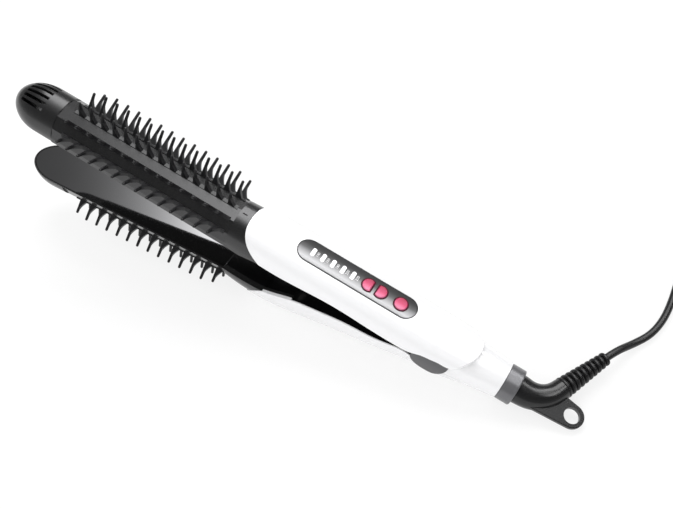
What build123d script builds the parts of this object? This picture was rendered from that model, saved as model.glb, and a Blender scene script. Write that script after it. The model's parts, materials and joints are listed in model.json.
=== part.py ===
from build123d import *
import math
import os

# Hair multistyler with two hinged brush arms, a control panel and a swivelling cord.
# Lengths are millimetres. The handle frame has X along the tool towards its cord,
# Z towards the control panel and its origin on the axis of the upper barrel.
# The lower arm is drawn closed, parallel to the upper arm, and is then swung open.
# Last of all, everything is pitched so that it stands as it lies on a table.

# Upper barrel and nose
barrel_radius = 12.5
nose_tip_x = -174.6
nose_length = 18.0
barrel_front_x = -146.0
barrel_rear_x = -46.0
upper_underside_z = -2.8
barrel_wall = 1.8
plate_side_gap = 0.3

# Vent slots in the nose
vent_count = 6
vent_pitch_deg = 15.0
vent_width = 1.6
vent_front_x = -167.5
vent_rear_x = -154.5

# Comb strips and their teeth
tooth_count = 14
tooth_pitch = 6.5
first_tooth_x = -137.2
upper_tooth_reach = 9.9
lower_tooth_reach = 8.7
end_tooth_drop = 1.4
upper_row_angles = (-62.0, -31.0, 0.0, 31.0, 62.0)
lower_row_angles = (-50.0, -18.0, 18.0, 50.0)
tooth_root_radius = 0.9
tooth_end_radius = 0.7
fin_length = 3.4
fin_height = 7.0
fin_width = 1.8
fin_hollow = 0.4
tooth_sink = 0.4
strip_width = 1.9
strip_depth = 1.5
strip_proud = 0.2
strip_end_margin = 3.0
strip_fit = 0.05

# Heaters
upper_plate_proud = 2.0
upper_plate_thickness = 3.6
heater_length = 72.0
heater_width = 15.0
heater_height = 3.0
fuse_radius = 1.6
fuse_length = 12.0

# Upper handle
cover_half_width = 13.8
cover_crown_z = 13.1
cover_wall = 1.5
cover_squareness = 2.5
cover_rear_x = 80.4
cover_end_length = 15.5
cover_edge_z = 0.6
shoulder_rear_x = -20.0
liner_thickness = 1.6
liner_recess = 0.5
side_fit = 0.15

# Control panel
panel_centre_x = 16.2
panel_straight = 50.2
panel_radius = 5.8
panel_top_z = 12.9
panel_thickness = 1.5
panel_groove = 0.25
panel_ledge = 1.0
panel_pad = 1.2
pad_depth = 1.6
indicator_count = 5
indicator_first_x = -7.0
indicator_pitch = 5.25
indicator_width = 1.9
indicator_length = 4.4
indicator_proud = 0.1
button_radius = 3.05
half_button_length = 4.7
minus_centre_x = 22.4
plus_centre_x = 28.5
power_centre_x = 39.1
button_proud = 0.8
button_edge_round = 0.5
button_gap = 0.15
surround_wall = 0.55
surround_proud = 0.15
button_flange = 0.5
flange_height = 0.8
button_travel = 0.5
stem_radius = 1.5
press_gap = 0.2

# Circuit board
board_front_x = -12.2
board_rear_x = 47.0
board_half_width = 8.0
board_thickness = 1.2
board_top_z = 7.9
board_corner = 2.0
lamp_height = 0.9
lamp_length = 1.6
lamp_width = 2.0
switch_side = 4.5
switch_height = 0.9
post_radius = 1.6
post_from_end = 3.0
post_from_side = 2.4

# Rear housing, hinge and cord collar
neck_front_x = 58.5
neck_axis_z = 2.0
neck_end_radius = 8.8
lead_hole_radius = 3.2
collar_front_x = 95.4
collar_length = 7.1
collar_radius = 8.7
collar_round = 0.6
hinge_x = 64.0
hinge_z = -0.5
opening_angle = 8.9
pin_radius = 1.5
pin_half_length = 10.6
pin_fit = 0.05
knuckle_radius = 3.2
knuckle_inner_y = 4.4
knuckle_outer_y = 7.2
knuckle_gap = 0.3
spring_inner_radius = 1.9
spring_outer_radius = 2.9
spring_leg_length = 8.0
spring_wire = 1.0
trim_half_width = 13.5
trim_thickness = 1.3
trim_peg_radius = 1.8
trim_peg_raise = 3.4

# Lower arm, drawn closed
lower_face_z = -5.2
lower_nose_tip_x = -172.0
lower_seam_x = -47.0
lower_rim = 0.7
lower_plate_thickness = 1.6
lower_plate_fit = 0.15
lower_cover_wall = 1.6
lower_cover_fit = 0.1
lower_lip_width = 0.5
seam_gap = 0.3
lower_shoulder_rear_x = -8.0
lower_shoulder_wall = 1.6
lower_liner_recess = 0.7
tail_end_x = 79.0

# Screws
screw_radius = 1.2
screw_head_radius = 2.4
screw_head_height = 1.0
screw_head_gap = 0.1
upper_screw_length = 6.2
boss_radius = 2.8
upper_screw_xs = (-15.5, 51.5)
lower_screw_xs = (-15.5, 36.0)
lower_front_seat_z = -12.0
lower_rear_seat_z = -9.6
lower_post_radius = 3.6
post_above_seat = 2.4
post_gap = 0.3

# Swivel, elbow and hang tab
swivel_stub_radius = 5.0
swivel_fit = 0.06
swivel_flange_radius = 6.4
swivel_flange_thickness = 2.0
swivel_pocket_rear_x = 92.0
swivel_pocket_length = 8.0
swivel_pocket_gap = 0.4
swivel_face_gap = 0.3
swivel_angle = 7.5
elbow_start_radius = 6.9
elbow_end_radius = 5.0
elbow_arc_x = 106.0
elbow_bend_radius = 14.0
elbow_turn = 65.5
elbow_end_straight = 3.2
tab_thickness = 2.4
tab_raise = 0.8
tab_hole_x = 128.8
tab_hole_y = 1.3
tab_hole_radius = 3.75
tab_end_radius = 5.8
tab_corner_radius = 1.0
tab_edge_round = 0.5

# Strain relief
relief_length = 26.8
relief_ribs = 12
relief_start_radius = 5.1
relief_end_radius = 3.3
relief_groove_depth = 0.7
rib_front_share = 0.22
rib_rear_share = 0.72
rib_foot_share = 0.94

# Cord, coil, tie and plug
cord_diameter = 3.6
cord_lead = 7.0
coil_mid_diameter = 45.0
coil_pitch = 4.7
coil_layers = 4
half_turns_per_layer = 5
coil_start_x = 144.0
coil_start_y = 127.5
tie_wall = 0.8
tie_width = 6.0
tie_gap = 0.3
plug_entry_x = 201.6
plug_entry_y = 84.0
plug_length = 36.0
plug_width = 26.0
plug_thickness = 13.7
plug_grip_width = 15.0
plug_sleeve_length = 9.0
plug_sleeve_radius = 3.2
plug_pin_radius = 2.0
plug_pin_length = 19.0
plug_pin_spacing = 18.6
plug_pin_round = 1.2
plug_pin_root_radius = 1.7
plug_pin_root_length = 8.0
plug_pin_relief = 0.4
stretch_route = [
    (137.7, 52.2, 1.8),
    (143.2, 61.0, 1.8),
    (145.8, 72.5, 1.8),
    (145.8, 86.0, 1.8),
    (144.6, 99.5, 1.8),
    (144.0, 113.5, 2.9),
]


def section_plane(x):
    """The plane across the tool at x, with its own x along Y and its own y along Z."""
    return Plane(origin=(x, 0, 0), x_dir=(0, 1, 0), z_dir=(1, 0, 0))


def crown_face(x, half_width, side_z, crown_z, skirt_z, squareness=2.0):
    """A section with straight skirts and a crown that rises or hangs from side_z."""
    blend = 0.5 ** (1 / squareness)
    shoulder_y = half_width * blend
    shoulder_z = side_z + (crown_z - side_z) * blend
    way = 1 if crown_z > side_z else -1
    left = Spline(
        (-half_width, side_z),
        (-shoulder_y, shoulder_z),
        (0, crown_z),
        tangents=[(0, way), (1, 0)],
    )
    right = Spline(
        (0, crown_z),
        (shoulder_y, shoulder_z),
        (half_width, side_z),
        tangents=[(1, 0), (0, -way)],
    )
    skirt = Polyline(
        (half_width, side_z),
        (half_width, skirt_z),
        (-half_width, skirt_z),
        (-half_width, side_z),
    )
    return section_plane(x) * make_face(left + right + skirt)


def side_prism(outline, half_width):
    """A solid that runs across the tool, with this outline of edges seen from the side."""
    return extrude(Plane.XZ * make_face(outline), amount=half_width, both=True)


def side_polygon(points, half_width):
    return side_prism(Polyline(*points, close=True), half_width)


def across(x, z, radius, y_from, y_to):
    """A round bar along Y."""
    bar = Cylinder(radius, y_to - y_from, align=(Align.CENTER, Align.CENTER, Align.MIN))
    return Pos(x, y_from, z) * Rot(X=-90) * bar


def upright(x, y, radius, z_from, z_to):
    """A round bar along Z."""
    bar = Cylinder(radius, z_to - z_from, align=(Align.CENTER, Align.CENTER, Align.MIN))
    return Pos(x, y, z_from) * bar


def along(x_from, x_to, radius, z):
    """A round bar along X."""
    bar = Cylinder(radius, x_to - x_from, align=(Align.CENTER, Align.CENTER, Align.MIN))
    return Pos(x_from, 0, z) * Rot(Y=90) * bar


def block(x_from, x_to, y_from, y_to, z_from, z_to):
    size = Box(x_to - x_from, y_to - y_from, z_to - z_from, align=(Align.MIN,) * 3)
    return Pos(x_from, y_from, z_from) * size


def bullet(tip_x, back_x, radius, nose, axis_z):
    """A round bar along X with a half-ellipse nose towards -X."""
    shoulder_x = tip_x + nose
    cap = EllipticalCenterArc((shoulder_x, 0), nose, radius, start_angle=90, arc_size=90)
    rest = Polyline((tip_x, 0), (back_x, 0), (back_x, radius), (shoulder_x, radius))
    profile = Plane.XZ * make_face(cap + rest)
    return Pos(0, 0, axis_z) * revolve(profile, axis=Axis.X)


def row_direction(angle):
    """Across and up parts of a direction at this angle from +Z."""
    return math.sin(math.radians(angle)), math.cos(math.radians(angle))


def faceted_bar(x_from, x_to, radius, angles, axis_z, way, flat_z):
    """A bar whose facets meet at the rows, closed by a flat at flat_z."""
    corners = [(-radius, axis_z)]
    for angle in angles:
        side, up = row_direction(angle)
        corners.append((radius * side, axis_z + way * radius * up))
    corners.append((radius, axis_z))
    if flat_z != axis_z:
        corners += [(radius, flat_z), (-radius, flat_z)]
    face = section_plane(x_from) * make_face(Polyline(*corners, close=True))
    return extrude(face, amount=x_to - x_from)


def stadium(centre_x, straight, radius, z_from, z_to):
    """A flat bar with round ends, long along X."""
    face = SlotCenterToCenter(straight, 2 * radius)
    return Pos(centre_x, 0, z_from) * extrude(face, amount=z_to - z_from)


# Curves of the parting line between the two covers, seen from the side

upper_edge_points = [
    (-24.0, cover_edge_z),
    (-8.0, cover_edge_z + 0.7),
    (6.0, cover_edge_z + 2.1),
    (18.0, cover_edge_z + 2.5),
    (30.0, cover_edge_z + 2.0),
    (46.0, cover_edge_z + 1.8),
    (53.0, cover_edge_z + 2.6),
    (58.2, cover_edge_z + 4.6),
    (63.0, cover_edge_z + 5.3),
    (66.5, cover_edge_z + 5.8),
    (70.0, cover_edge_z + 5.8),
    (73.5, cover_edge_z + 6.6),
    (84.0, cover_edge_z + 8.0),
]

lower_rim_points = [
    (-30.0, lower_face_z),
    (-20.0, lower_face_z + 1.0),
    (-8.0, lower_face_z + 4.4),
    (4.0, lower_face_z + 5.5),
    (16.0, lower_face_z + 6.0),
    (28.0, lower_face_z + 6.1),
    (40.0, lower_face_z + 5.6),
    (52.5, lower_face_z + 5.1),
    (57.5, lower_face_z + 2.7),
    (64.0, lower_face_z + 2.2),
    (72.0, lower_face_z + 1.6),
    (tail_end_x + 1.0, lower_face_z + 0.8),
]


def below_upper_edge(offset=0.0, floor_z=-30.0):
    """All that lies under the upper cover's lower edge, moved up by offset."""
    curve = Spline(*[(x, z + offset) for x, z in upper_edge_points])
    first_x, first_z = upper_edge_points[0]
    last_x, last_z = upper_edge_points[-1]
    rest = Polyline(
        (last_x, last_z + offset),
        (last_x + 20, last_z + offset),
        (last_x + 20, floor_z),
        (first_x - 40, floor_z),
        (first_x - 40, first_z + offset),
        (first_x, first_z + offset),
    )
    return side_prism(curve + rest, 30.0)


def above_lower_rim(offset=0.0, roof_z=30.0):
    """All that lies over the lower cover's rim, moved down by offset."""
    curve = Spline(*[(x, z - offset) for x, z in lower_rim_points])
    first_x, first_z = lower_rim_points[0]
    last_x, last_z = lower_rim_points[-1]
    rest = Polyline(
        (last_x, last_z - offset),
        (last_x + 20, last_z - offset),
        (last_x + 20, roof_z),
        (first_x - 40, roof_z),
        (first_x - 40, first_z - offset),
        (first_x, first_z - offset),
    )
    return side_prism(curve + rest, 30.0)


upper_front_points = ((-41.0, 15.0), (-35.2, 7.8), (-20.5, -3.0))
lower_front_points = ((-38.5, -24.0), (-32.0, -11.5), (-15.5, -2.0))


def behind_front(points, end_z, offset):
    """All that lies behind an arc through three points, moved along the tool by offset."""
    moved = [(x + offset, z) for x, z in points]
    (first_x, first_z), (last_x, last_z) = moved[0], moved[-1]
    rest = Polyline(
        (last_x, last_z),
        (last_x, end_z),
        (120, end_z),
        (120, first_z),
        (first_x, first_z),
    )
    return side_prism(ThreePointArc(*moved) + rest, 30.0)


def behind_upper_front(offset=0.0):
    """All that lies behind the swept front edge of the upper cover."""
    return behind_front(upper_front_points, -9.0, offset)


def behind_lower_front(offset=0.0):
    """All that lies behind the swept front edge of the lower cover."""
    return behind_front(lower_front_points, 10.0, offset)


# Upper arm

def nose_cap():
    wall = barrel_wall
    outer = bullet(nose_tip_x, barrel_front_x, barrel_radius, nose_length, 0)
    outer -= block(nose_tip_x - 1, 0, -20, 20, -30, upper_underside_z)
    inner = bullet(
        nose_tip_x + wall, barrel_front_x + 1, barrel_radius - wall, nose_length - wall / 2, 0
    )
    inner -= block(nose_tip_x - 1, 0, -20, 20, -30, upper_underside_z + wall)
    cap = outer - inner
    for index in range(vent_count):
        angle = (index - (vent_count - 1) / 2) * vent_pitch_deg
        slot = block(
            vent_front_x, vent_rear_x, -vent_width / 2, vent_width / 2, 4.5, barrel_radius + 2
        )
        cap -= Rot(X=-angle) * slot
    return cap


def strip_floor(radius_top):
    return radius_top - strip_depth


def strip_block(radius_top, grow):
    """The bar of a comb strip, standing along +Z; grow opens it into its groove."""
    first = first_tooth_x - strip_end_margin
    last = first_tooth_x + (tooth_count - 1) * tooth_pitch + strip_end_margin + fin_length / 2
    return block(
        first - grow,
        last + grow,
        -strip_width / 2 - grow,
        strip_width / 2 + grow,
        strip_floor(radius_top),
        radius_top + strip_proud + 4 * grow,
    )


def tooth(x, root_z, tip_z):
    """A moulded pin with a round tip and a fin on its cord side."""
    pin_length = tip_z - tooth_end_radius - root_z
    pin = Cone(
        tooth_root_radius,
        tooth_end_radius,
        pin_length,
        align=(Align.CENTER, Align.CENTER, Align.MIN),
    )
    curve = ThreePointArc(
        (x + fin_length, root_z),
        (x + fin_length * fin_hollow, root_z + fin_height * fin_hollow),
        (x, root_z + fin_height),
    )
    foot = Polyline((x, root_z + fin_height), (x, root_z), (x + fin_length, root_z))
    fin = side_prism(curve + foot, fin_width / 2)
    ball = Pos(x, 0, tip_z - tooth_end_radius) * Sphere(tooth_end_radius)
    return [Pos(x, 0, root_z) * pin, ball, fin]


def comb_strip(tooth_reach):
    """One row of teeth on its bar, standing along +Z."""
    bar = strip_block(barrel_radius, 0)
    root = barrel_radius + strip_proud - tooth_sink
    pieces = []
    for index in range(tooth_count):
        at_end = index in (0, tooth_count - 1)
        tip = barrel_radius + tooth_reach - (end_tooth_drop if at_end else 0)
        pieces += tooth(first_tooth_x + index * tooth_pitch, root, tip)
    return bar + pieces


def barrel_shell():
    outer = faceted_bar(
        barrel_front_x, barrel_rear_x, barrel_radius, upper_row_angles, 0, 1, upper_underside_z
    )
    inner_radius = barrel_radius - barrel_wall
    inner = faceted_bar(
        barrel_front_x - 1, barrel_rear_x + 1, inner_radius, upper_row_angles, 0, 1, -10
    )
    shell = outer - inner
    for angle in upper_row_angles:
        shell -= Rot(X=-angle) * strip_block(barrel_radius, strip_fit)
    return shell


def upper_plate():
    top_z = upper_underside_z - upper_plate_proud + upper_plate_thickness
    half = barrel_radius - barrel_wall - plate_side_gap
    plate = block(
        barrel_front_x + seam_gap,
        barrel_rear_x - seam_gap,
        -half,
        half,
        upper_underside_z - upper_plate_proud,
        top_z,
    )
    bottom = plate.edges().group_by(Axis.Z)[0]
    return fillet(bottom, 0.9)


def heater_bar(z_from):
    middle = (barrel_front_x + barrel_rear_x) / 2
    bar = block(
        middle - heater_length / 2,
        middle + heater_length / 2,
        -heater_width / 2,
        heater_width / 2,
        z_from,
        z_from + heater_height,
    )
    return chamfer(bar.edges().filter_by(Axis.X), 0.4)


def upper_heater():
    return heater_bar(upper_underside_z - upper_plate_proud + upper_plate_thickness)


def plate_springs():
    """Two bowed leaf springs that press the heater and its plate outwards."""
    base_z = upper_underside_z - upper_plate_proud + upper_plate_thickness + heater_height
    top_z = barrel_radius - barrel_wall - 0.9
    leaves = []
    for x in (barrel_front_x + 30, barrel_rear_x - 30):
        outer = ThreePointArc((x - 9, base_z), (x, top_z), (x + 9, base_z))
        inner = ThreePointArc((x + 8.4, base_z), (x, top_z - 0.5), (x - 8.4, base_z))
        ends = Line((x + 9, base_z), (x + 8.4, base_z)) + Line((x - 8.4, base_z), (x - 9, base_z))
        leaves.append(side_prism(outer + inner + ends, 3.0))
    return leaves


def thermal_fuse():
    base_z = upper_underside_z - upper_plate_proud + upper_plate_thickness + heater_height
    middle = (barrel_front_x + barrel_rear_x) / 2
    return along(middle - fuse_length / 2, middle + fuse_length / 2, fuse_radius, base_z + fuse_radius)


def upper_outer(grow=0.0):
    """The outside of the upper cover before its ends are cut."""
    faces = []
    for x, half_width, crown in (
        (-46.0, cover_half_width - 0.6, cover_crown_z - 0.1),
        (-20.0, cover_half_width, cover_crown_z),
        (40.0, cover_half_width, cover_crown_z),
        (70.0, cover_half_width - 0.3, cover_crown_z),
        (84.0, cover_half_width - 1.0, cover_crown_z - 0.2),
    ):
        faces.append(
            crown_face(x, half_width + grow, 0, crown + grow, -8.0, cover_squareness)
        )
    return loft(faces)


def rounded_plan(end_x, end_length, half_width):
    """A block over the tool whose cord end is a half ellipse in plan."""
    shoulder_x = end_x - end_length
    curve = EllipticalCenterArc(
        (shoulder_x, 0), end_length, half_width, start_angle=-90, arc_size=180
    )
    rest = Polyline(
        (shoulder_x, half_width), (-60, half_width), (-60, -half_width), (shoulder_x, -half_width)
    )
    return Pos(0, 0, -20) * extrude(make_face(curve + rest), amount=50)


def upper_shoulder():
    """The dark collar between the barrel and the upper cover, with its inner spigot."""
    wall = barrel_wall
    outer = loft(
        [
            crown_face(barrel_rear_x, barrel_radius, 0, barrel_radius, -8, 2.05),
            crown_face(-40.0, barrel_radius + 0.25, 0, barrel_radius + 0.1, -8, 2.1),
            crown_face(-30.0, cover_half_width - 0.9, 0, cover_crown_z - 0.35, -8, 2.4),
            crown_face(shoulder_rear_x, cover_half_width - 0.5, 0, cover_crown_z - 0.3, -8, 2.5),
        ]
    )
    spigot_width = cover_half_width - cover_wall - side_fit
    spigot_crown = cover_crown_z - cover_wall - side_fit
    spigot = loft(
        [
            crown_face(barrel_rear_x + 1, barrel_radius - 0.8, 0, barrel_radius - 1.0, -8, 2.1),
            crown_face(-34.0, spigot_width - 0.8, 0, spigot_crown - 0.2, -8, 2.4),
            crown_face(shoulder_rear_x, spigot_width - 0.1, 0, spigot_crown, -8, cover_squareness),
        ]
    )
    shown = outer - behind_upper_front(-side_fit)
    body = shown + spigot
    core = loft(
        [
            crown_face(barrel_rear_x - 1, barrel_radius - wall, 0, barrel_radius - wall, -12, 2.1),
            crown_face(-34.0, spigot_width - wall - 0.8, 0, spigot_crown - wall - 0.2, -12, 2.4),
            crown_face(
                shoulder_rear_x + 1,
                spigot_width - wall,
                0,
                spigot_crown - wall,
                -12,
                cover_squareness,
            ),
        ]
    )
    body -= core
    underside = side_polygon(
        [
            (barrel_rear_x - 5, upper_underside_z),
            (-38, upper_underside_z),
            (-23, cover_edge_z + 0.2),
            (-10, cover_edge_z + 0.2),
            (-10, -30),
            (barrel_rear_x - 5, -30),
        ],
        30,
    )
    body -= underside
    for y in (-1.4, 2.6):
        body -= block(-44.6, -42.2, y, y + 0.7, barrel_radius - 0.5, barrel_radius + 3)
    return body


def panel_pocket_radius():
    return panel_radius + panel_groove


def upper_cover():
    outer = upper_outer()
    shell = outer - upper_outer(-cover_wall)
    floor_z = panel_top_z - panel_thickness
    pad = stadium(
        panel_centre_x,
        panel_straight,
        panel_pocket_radius() + panel_pad,
        floor_z - pad_depth,
        cover_crown_z + 1,
    )
    shell += pad & outer
    for x in upper_screw_xs:
        post_foot = liner_bottom(x + boss_radius) + liner_thickness + post_gap
        post = upright(x, 0, boss_radius, post_foot, cover_crown_z - cover_wall / 2)
        shell += post & outer
    for x in (board_front_x + post_from_end, board_rear_x - post_from_end):
        for y in (-board_half_width + post_from_side, board_half_width - post_from_side):
            shell += upright(x, y, post_radius, board_top_z, cover_crown_z - 2) & outer
    shell -= stadium(
        panel_centre_x, panel_straight, panel_pocket_radius(), floor_z, cover_crown_z + 2
    )
    shell -= stadium(
        panel_centre_x, panel_straight - 3, panel_radius - panel_ledge, 0, cover_crown_z + 2
    )
    for x in upper_screw_xs:
        shell -= upright(x, 0, screw_radius, -5, cover_crown_z - cover_wall - 1)
    shell = shell & behind_upper_front()
    shell = shell & rounded_plan(cover_rear_x, cover_end_length, cover_half_width + 0.4)
    return shell - below_upper_edge()


def button_face(centre_x, grow, flat_side):
    """The outline of a button cap: a full round, or a half-moon with one flat side."""
    face = Pos(centre_x, 0) * Circle(button_radius + grow)
    if flat_side == 0:
        return face
    flat_x = centre_x + flat_side * (half_button_length - button_radius + grow)
    keep = Pos(flat_x - flat_side * 10, 0) * Rectangle(20, 20)
    return face & keep


buttons = {
    "minus_button": (minus_centre_x, 1),
    "plus_button": (plus_centre_x, -1),
    "power_button": (power_centre_x, 0),
}


def control_panel():
    floor_z = panel_top_z - panel_thickness
    plate = stadium(panel_centre_x, panel_straight, panel_radius, floor_z, panel_top_z)
    plate = chamfer(plate.edges().group_by(Axis.Z)[-1], 0.25)
    for index in range(indicator_count):
        x = indicator_first_x + index * indicator_pitch
        plate -= indicator(x, 0.05, floor_z - 1, panel_top_z + 1)
    for centre_x, flat_side in buttons.values():
        hole = button_face(centre_x, button_gap + surround_wall, flat_side)
        plate -= Pos(0, 0, floor_z - 1) * extrude(hole, amount=panel_thickness + 2)
    return plate


def indicator(x, grow, z_from, z_to):
    window = RectangleRounded(
        indicator_width + 2 * grow, indicator_length + 2 * grow, indicator_width * 0.38
    )
    return Pos(x, 0, z_from) * extrude(window, amount=z_to - z_from)


def indicator_windows():
    bottom_z = board_top_z + lamp_height + press_gap
    windows = []
    for index in range(indicator_count):
        x = indicator_first_x + index * indicator_pitch
        windows.append(indicator(x, 0, bottom_z, panel_top_z + indicator_proud))
    return windows


def indicator_lamps():
    lamps = []
    for index in range(indicator_count):
        x = indicator_first_x + index * indicator_pitch
        lamps.append(
            block(
                x - lamp_length / 2,
                x + lamp_length / 2,
                -lamp_width / 2,
                lamp_width / 2,
                board_top_z,
                board_top_z + lamp_height,
            )
        )
    return lamps


def button_surrounds():
    floor_z = panel_top_z - panel_thickness
    rings = []
    for centre_x, flat_side in buttons.values():
        outer = button_face(centre_x, button_gap + surround_wall, flat_side)
        inner = button_face(centre_x, button_gap, flat_side)
        ring = extrude(outer - inner, amount=panel_thickness + surround_proud)
        rings.append(Pos(0, 0, floor_z) * ring)
    return rings


def button_cap(centre_x, flat_side):
    floor_z = panel_top_z - panel_thickness
    flange_top = floor_z - 2 * press_gap
    cap = extrude(
        button_face(centre_x, 0, flat_side), amount=panel_top_z + button_proud - flange_top
    )
    cap = fillet(cap.edges().group_by(Axis.Z)[-1], button_edge_round)
    flange = extrude(button_face(centre_x, button_flange, flat_side), amount=flange_height)
    body = Pos(0, 0, flange_top) * cap + Pos(0, 0, flange_top - flange_height) * flange
    switch_top = board_top_z + switch_height
    stem_foot = switch_top + button_travel + press_gap
    if stem_foot < flange_top - flange_height:
        body += upright(centre_x, 0, stem_radius, stem_foot, flange_top)
    return body


def circuit_board():
    board = block(
        board_front_x,
        board_rear_x,
        -board_half_width,
        board_half_width,
        board_top_z - board_thickness,
        board_top_z,
    )
    return fillet(board.edges().filter_by(Axis.Z), board_corner)


def tact_switches():
    half = switch_side / 2
    switches = []
    for centre_x, flat_side in buttons.values():
        switches.append(
            block(
                centre_x - half,
                centre_x + half,
                -half,
                half,
                board_top_z,
                board_top_z + switch_height,
            )
        )
    return switches


def upper_liner():
    """The dark plate that closes the upper handle from below."""
    body = upper_outer(-cover_wall - side_fit)
    body &= block(shoulder_rear_x + seam_gap, neck_front_x - seam_gap, -20, 20, -8, 20)
    body -= below_upper_edge(liner_recess)
    body &= below_upper_edge(liner_recess + liner_thickness)
    for x in upper_screw_xs:
        body -= upright(x, 0, screw_radius, -5, 12)
        head_hole = screw_head_radius + screw_head_gap
        body -= upright(x, 0, head_hole, -8, liner_bottom(x) + screw_head_height)
    return body


def edge_height(points, x):
    """The height of a parting line at x, read between its nearest two points."""
    for (x0, z0), (x1, z1) in zip(points, points[1:]):
        if x0 <= x <= x1:
            return z0 + (z1 - z0) * (x - x0) / (x1 - x0)
    return points[0][1] if x < points[0][0] else points[-1][1]


def liner_bottom(x):
    return edge_height(upper_edge_points, x) + liner_recess


def upper_screws():
    screws = []
    for x in upper_screw_xs:
        head_z = liner_bottom(x) + 0.2
        head = upright(x, 0, screw_head_radius, head_z, head_z + screw_head_height - 0.2)
        shank = upright(x, 0, screw_radius, head_z, head_z + upper_screw_length)
        drive = block(x - 0.3, x + 0.3, -1.5, 1.5, head_z - 1, head_z + 0.5)
        drive += block(x - 1.5, x + 1.5, -0.3, 0.3, head_z - 1, head_z + 0.5)
        screws.append(head + shank - drive)
    return screws


# Rear housing, hinge and collar

def rear_housing():
    faces = []
    inner_width = cover_half_width - cover_wall - side_fit
    inner_crown = cover_crown_z - cover_wall - side_fit
    end_top = neck_axis_z + neck_end_radius
    end_bottom = neck_axis_z - neck_end_radius
    for x, half_width, top_z, bottom_z in (
        (neck_front_x, inner_width - 0.4, inner_crown - 0.2, -9.4),
        (72.0, inner_width - 0.7, inner_crown - 0.2, -9.0),
        (84.0, 10.2, inner_crown - 0.3, -8.1),
        (collar_front_x, neck_end_radius, end_top, end_bottom),
    ):
        centre_z = (top_z + bottom_z) / 2
        face = Pos(0, centre_z) * Ellipse(half_width, (top_z - bottom_z) / 2)
        faces.append(section_plane(x) * face)
    body = loft(faces)
    body -= block(neck_front_x - 1, tail_end_x + 1.2, -20, 20, -20, hinge_z - 1.4)
    slot_y = knuckle_outer_y + knuckle_gap
    body -= block(neck_front_x - 1, 71.0, -slot_y, slot_y, -20, 8.0)
    body -= across(hinge_x, hinge_z, pin_radius, -20, 20)
    for side in (-1, 1):
        near, far = sorted((side * (pin_half_length - 0.2), side * 20))
        body -= across(hinge_x, hinge_z + trim_peg_raise, trim_peg_radius + side_fit, near, far)
    pocket_radius = swivel_flange_radius + swivel_pocket_gap
    pocket_front_x = swivel_pocket_rear_x - swivel_pocket_length
    body -= along(pocket_front_x, swivel_pocket_rear_x, pocket_radius, neck_axis_z)
    stub_hole = swivel_stub_radius + swivel_fit
    body -= along(swivel_pocket_rear_x - 1, collar_front_x + 1, stub_hole, neck_axis_z)
    body -= along(neck_front_x, pocket_front_x + 1, lead_hole_radius, neck_axis_z)
    return body


def collar_ring():
    ring = along(collar_front_x, collar_front_x + collar_length, collar_radius, neck_axis_z)
    rims = ring.edges().filter_by(GeomType.CIRCLE)
    ring = fillet(rims, collar_round)
    return ring - along(
        collar_front_x - 1,
        collar_front_x + collar_length + 1,
        swivel_stub_radius + swivel_fit,
        neck_axis_z,
    )


def hinge_pin():
    pin = across(hinge_x, hinge_z, pin_radius, -pin_half_length, pin_half_length)
    return chamfer(pin.edges().filter_by(GeomType.CIRCLE), 0.3)


def hinge_spring():
    """The wound body of the opening spring on its pin, with the leg that bears on the housing."""
    half = knuckle_inner_y - knuckle_gap
    body = across(hinge_x, hinge_z, spring_outer_radius, -half, half)
    body -= across(hinge_x, hinge_z, spring_inner_radius, -half - 1, half + 1)
    leg_z = hinge_z + (spring_inner_radius + spring_outer_radius) / 2
    leg = Pos(hinge_x, half - spring_wire, leg_z) * Rot(Y=50) * Cylinder(
        spring_wire / 2, spring_leg_length, align=(Align.CENTER, Align.CENTER, Align.MIN)
    )
    body += leg
    body -= across(hinge_x, hinge_z, spring_inner_radius, -half - 1, half + 1)
    return body


def side_trim(side):
    """The grey leaf that covers one end of the hinge."""
    outline = Spline(
        (54.0, 2.6),
        (55.2, -1.2),
        (58.6, -3.0),
        (62.8, -3.4),
        (66.4, -2.8),
        (69.4, -0.2),
        (71.4, 4.2),
        (71.6, 9.0),
    )
    roof = Polyline((71.6, 9.0), (54.0, 9.0), (54.0, 2.6))
    leaf = side_prism(outline + roof, 30.0) & below_upper_edge(-0.15)
    outer = upper_outer(-(cover_half_width - trim_half_width))
    inner = upper_outer(-(cover_half_width - trim_half_width) - trim_thickness)
    leaf &= outer - inner
    half_space = block(40, 90, 0, 30, -20, 20) if side > 0 else block(40, 90, -30, 0, -20, 20)
    leaf &= half_space
    cap_from, cap_to = pin_half_length + 0.1, trim_half_width - 0.6
    near, far = sorted((side * cap_from, side * cap_to))
    return leaf + across(hinge_x, hinge_z + trim_peg_raise, trim_peg_radius, near, far)


# Lower arm, drawn closed

lower_sections = (
    (-48.0, 12.7, -5.6, -17.9, 2.05),
    (-36.0, 14.0, -6.2, -19.8, 2.2),
    (-24.0, 14.4, -6.5, -20.3, 2.25),
    (-9.0, 14.1, -5.8, -19.2, 2.3),
    (7.0, 13.5, -4.8, -17.0, 2.3),
    (23.0, 13.1, -3.9, -14.4, 2.3),
    (39.0, 12.7, -3.2, -12.0, 2.3),
    (53.0, 11.8, -3.4, -10.4, 2.3),
    (64.0, 11.5, -4.0, -9.9, 2.3),
    (71.0, 10.8, -4.8, -9.9, 2.2),
    (tail_end_x, 9.2, -5.4, -9.5, 2.2),
)


def lower_outer(grow=0.0):
    """The outside of the lower cover before its ends are cut."""
    faces = []
    for x, half_width, side_z, crown_z, squareness in lower_sections:
        faces.append(
            crown_face(x, half_width + grow, side_z, crown_z - grow, 8.0, squareness)
        )
    return loft(faces)


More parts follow.
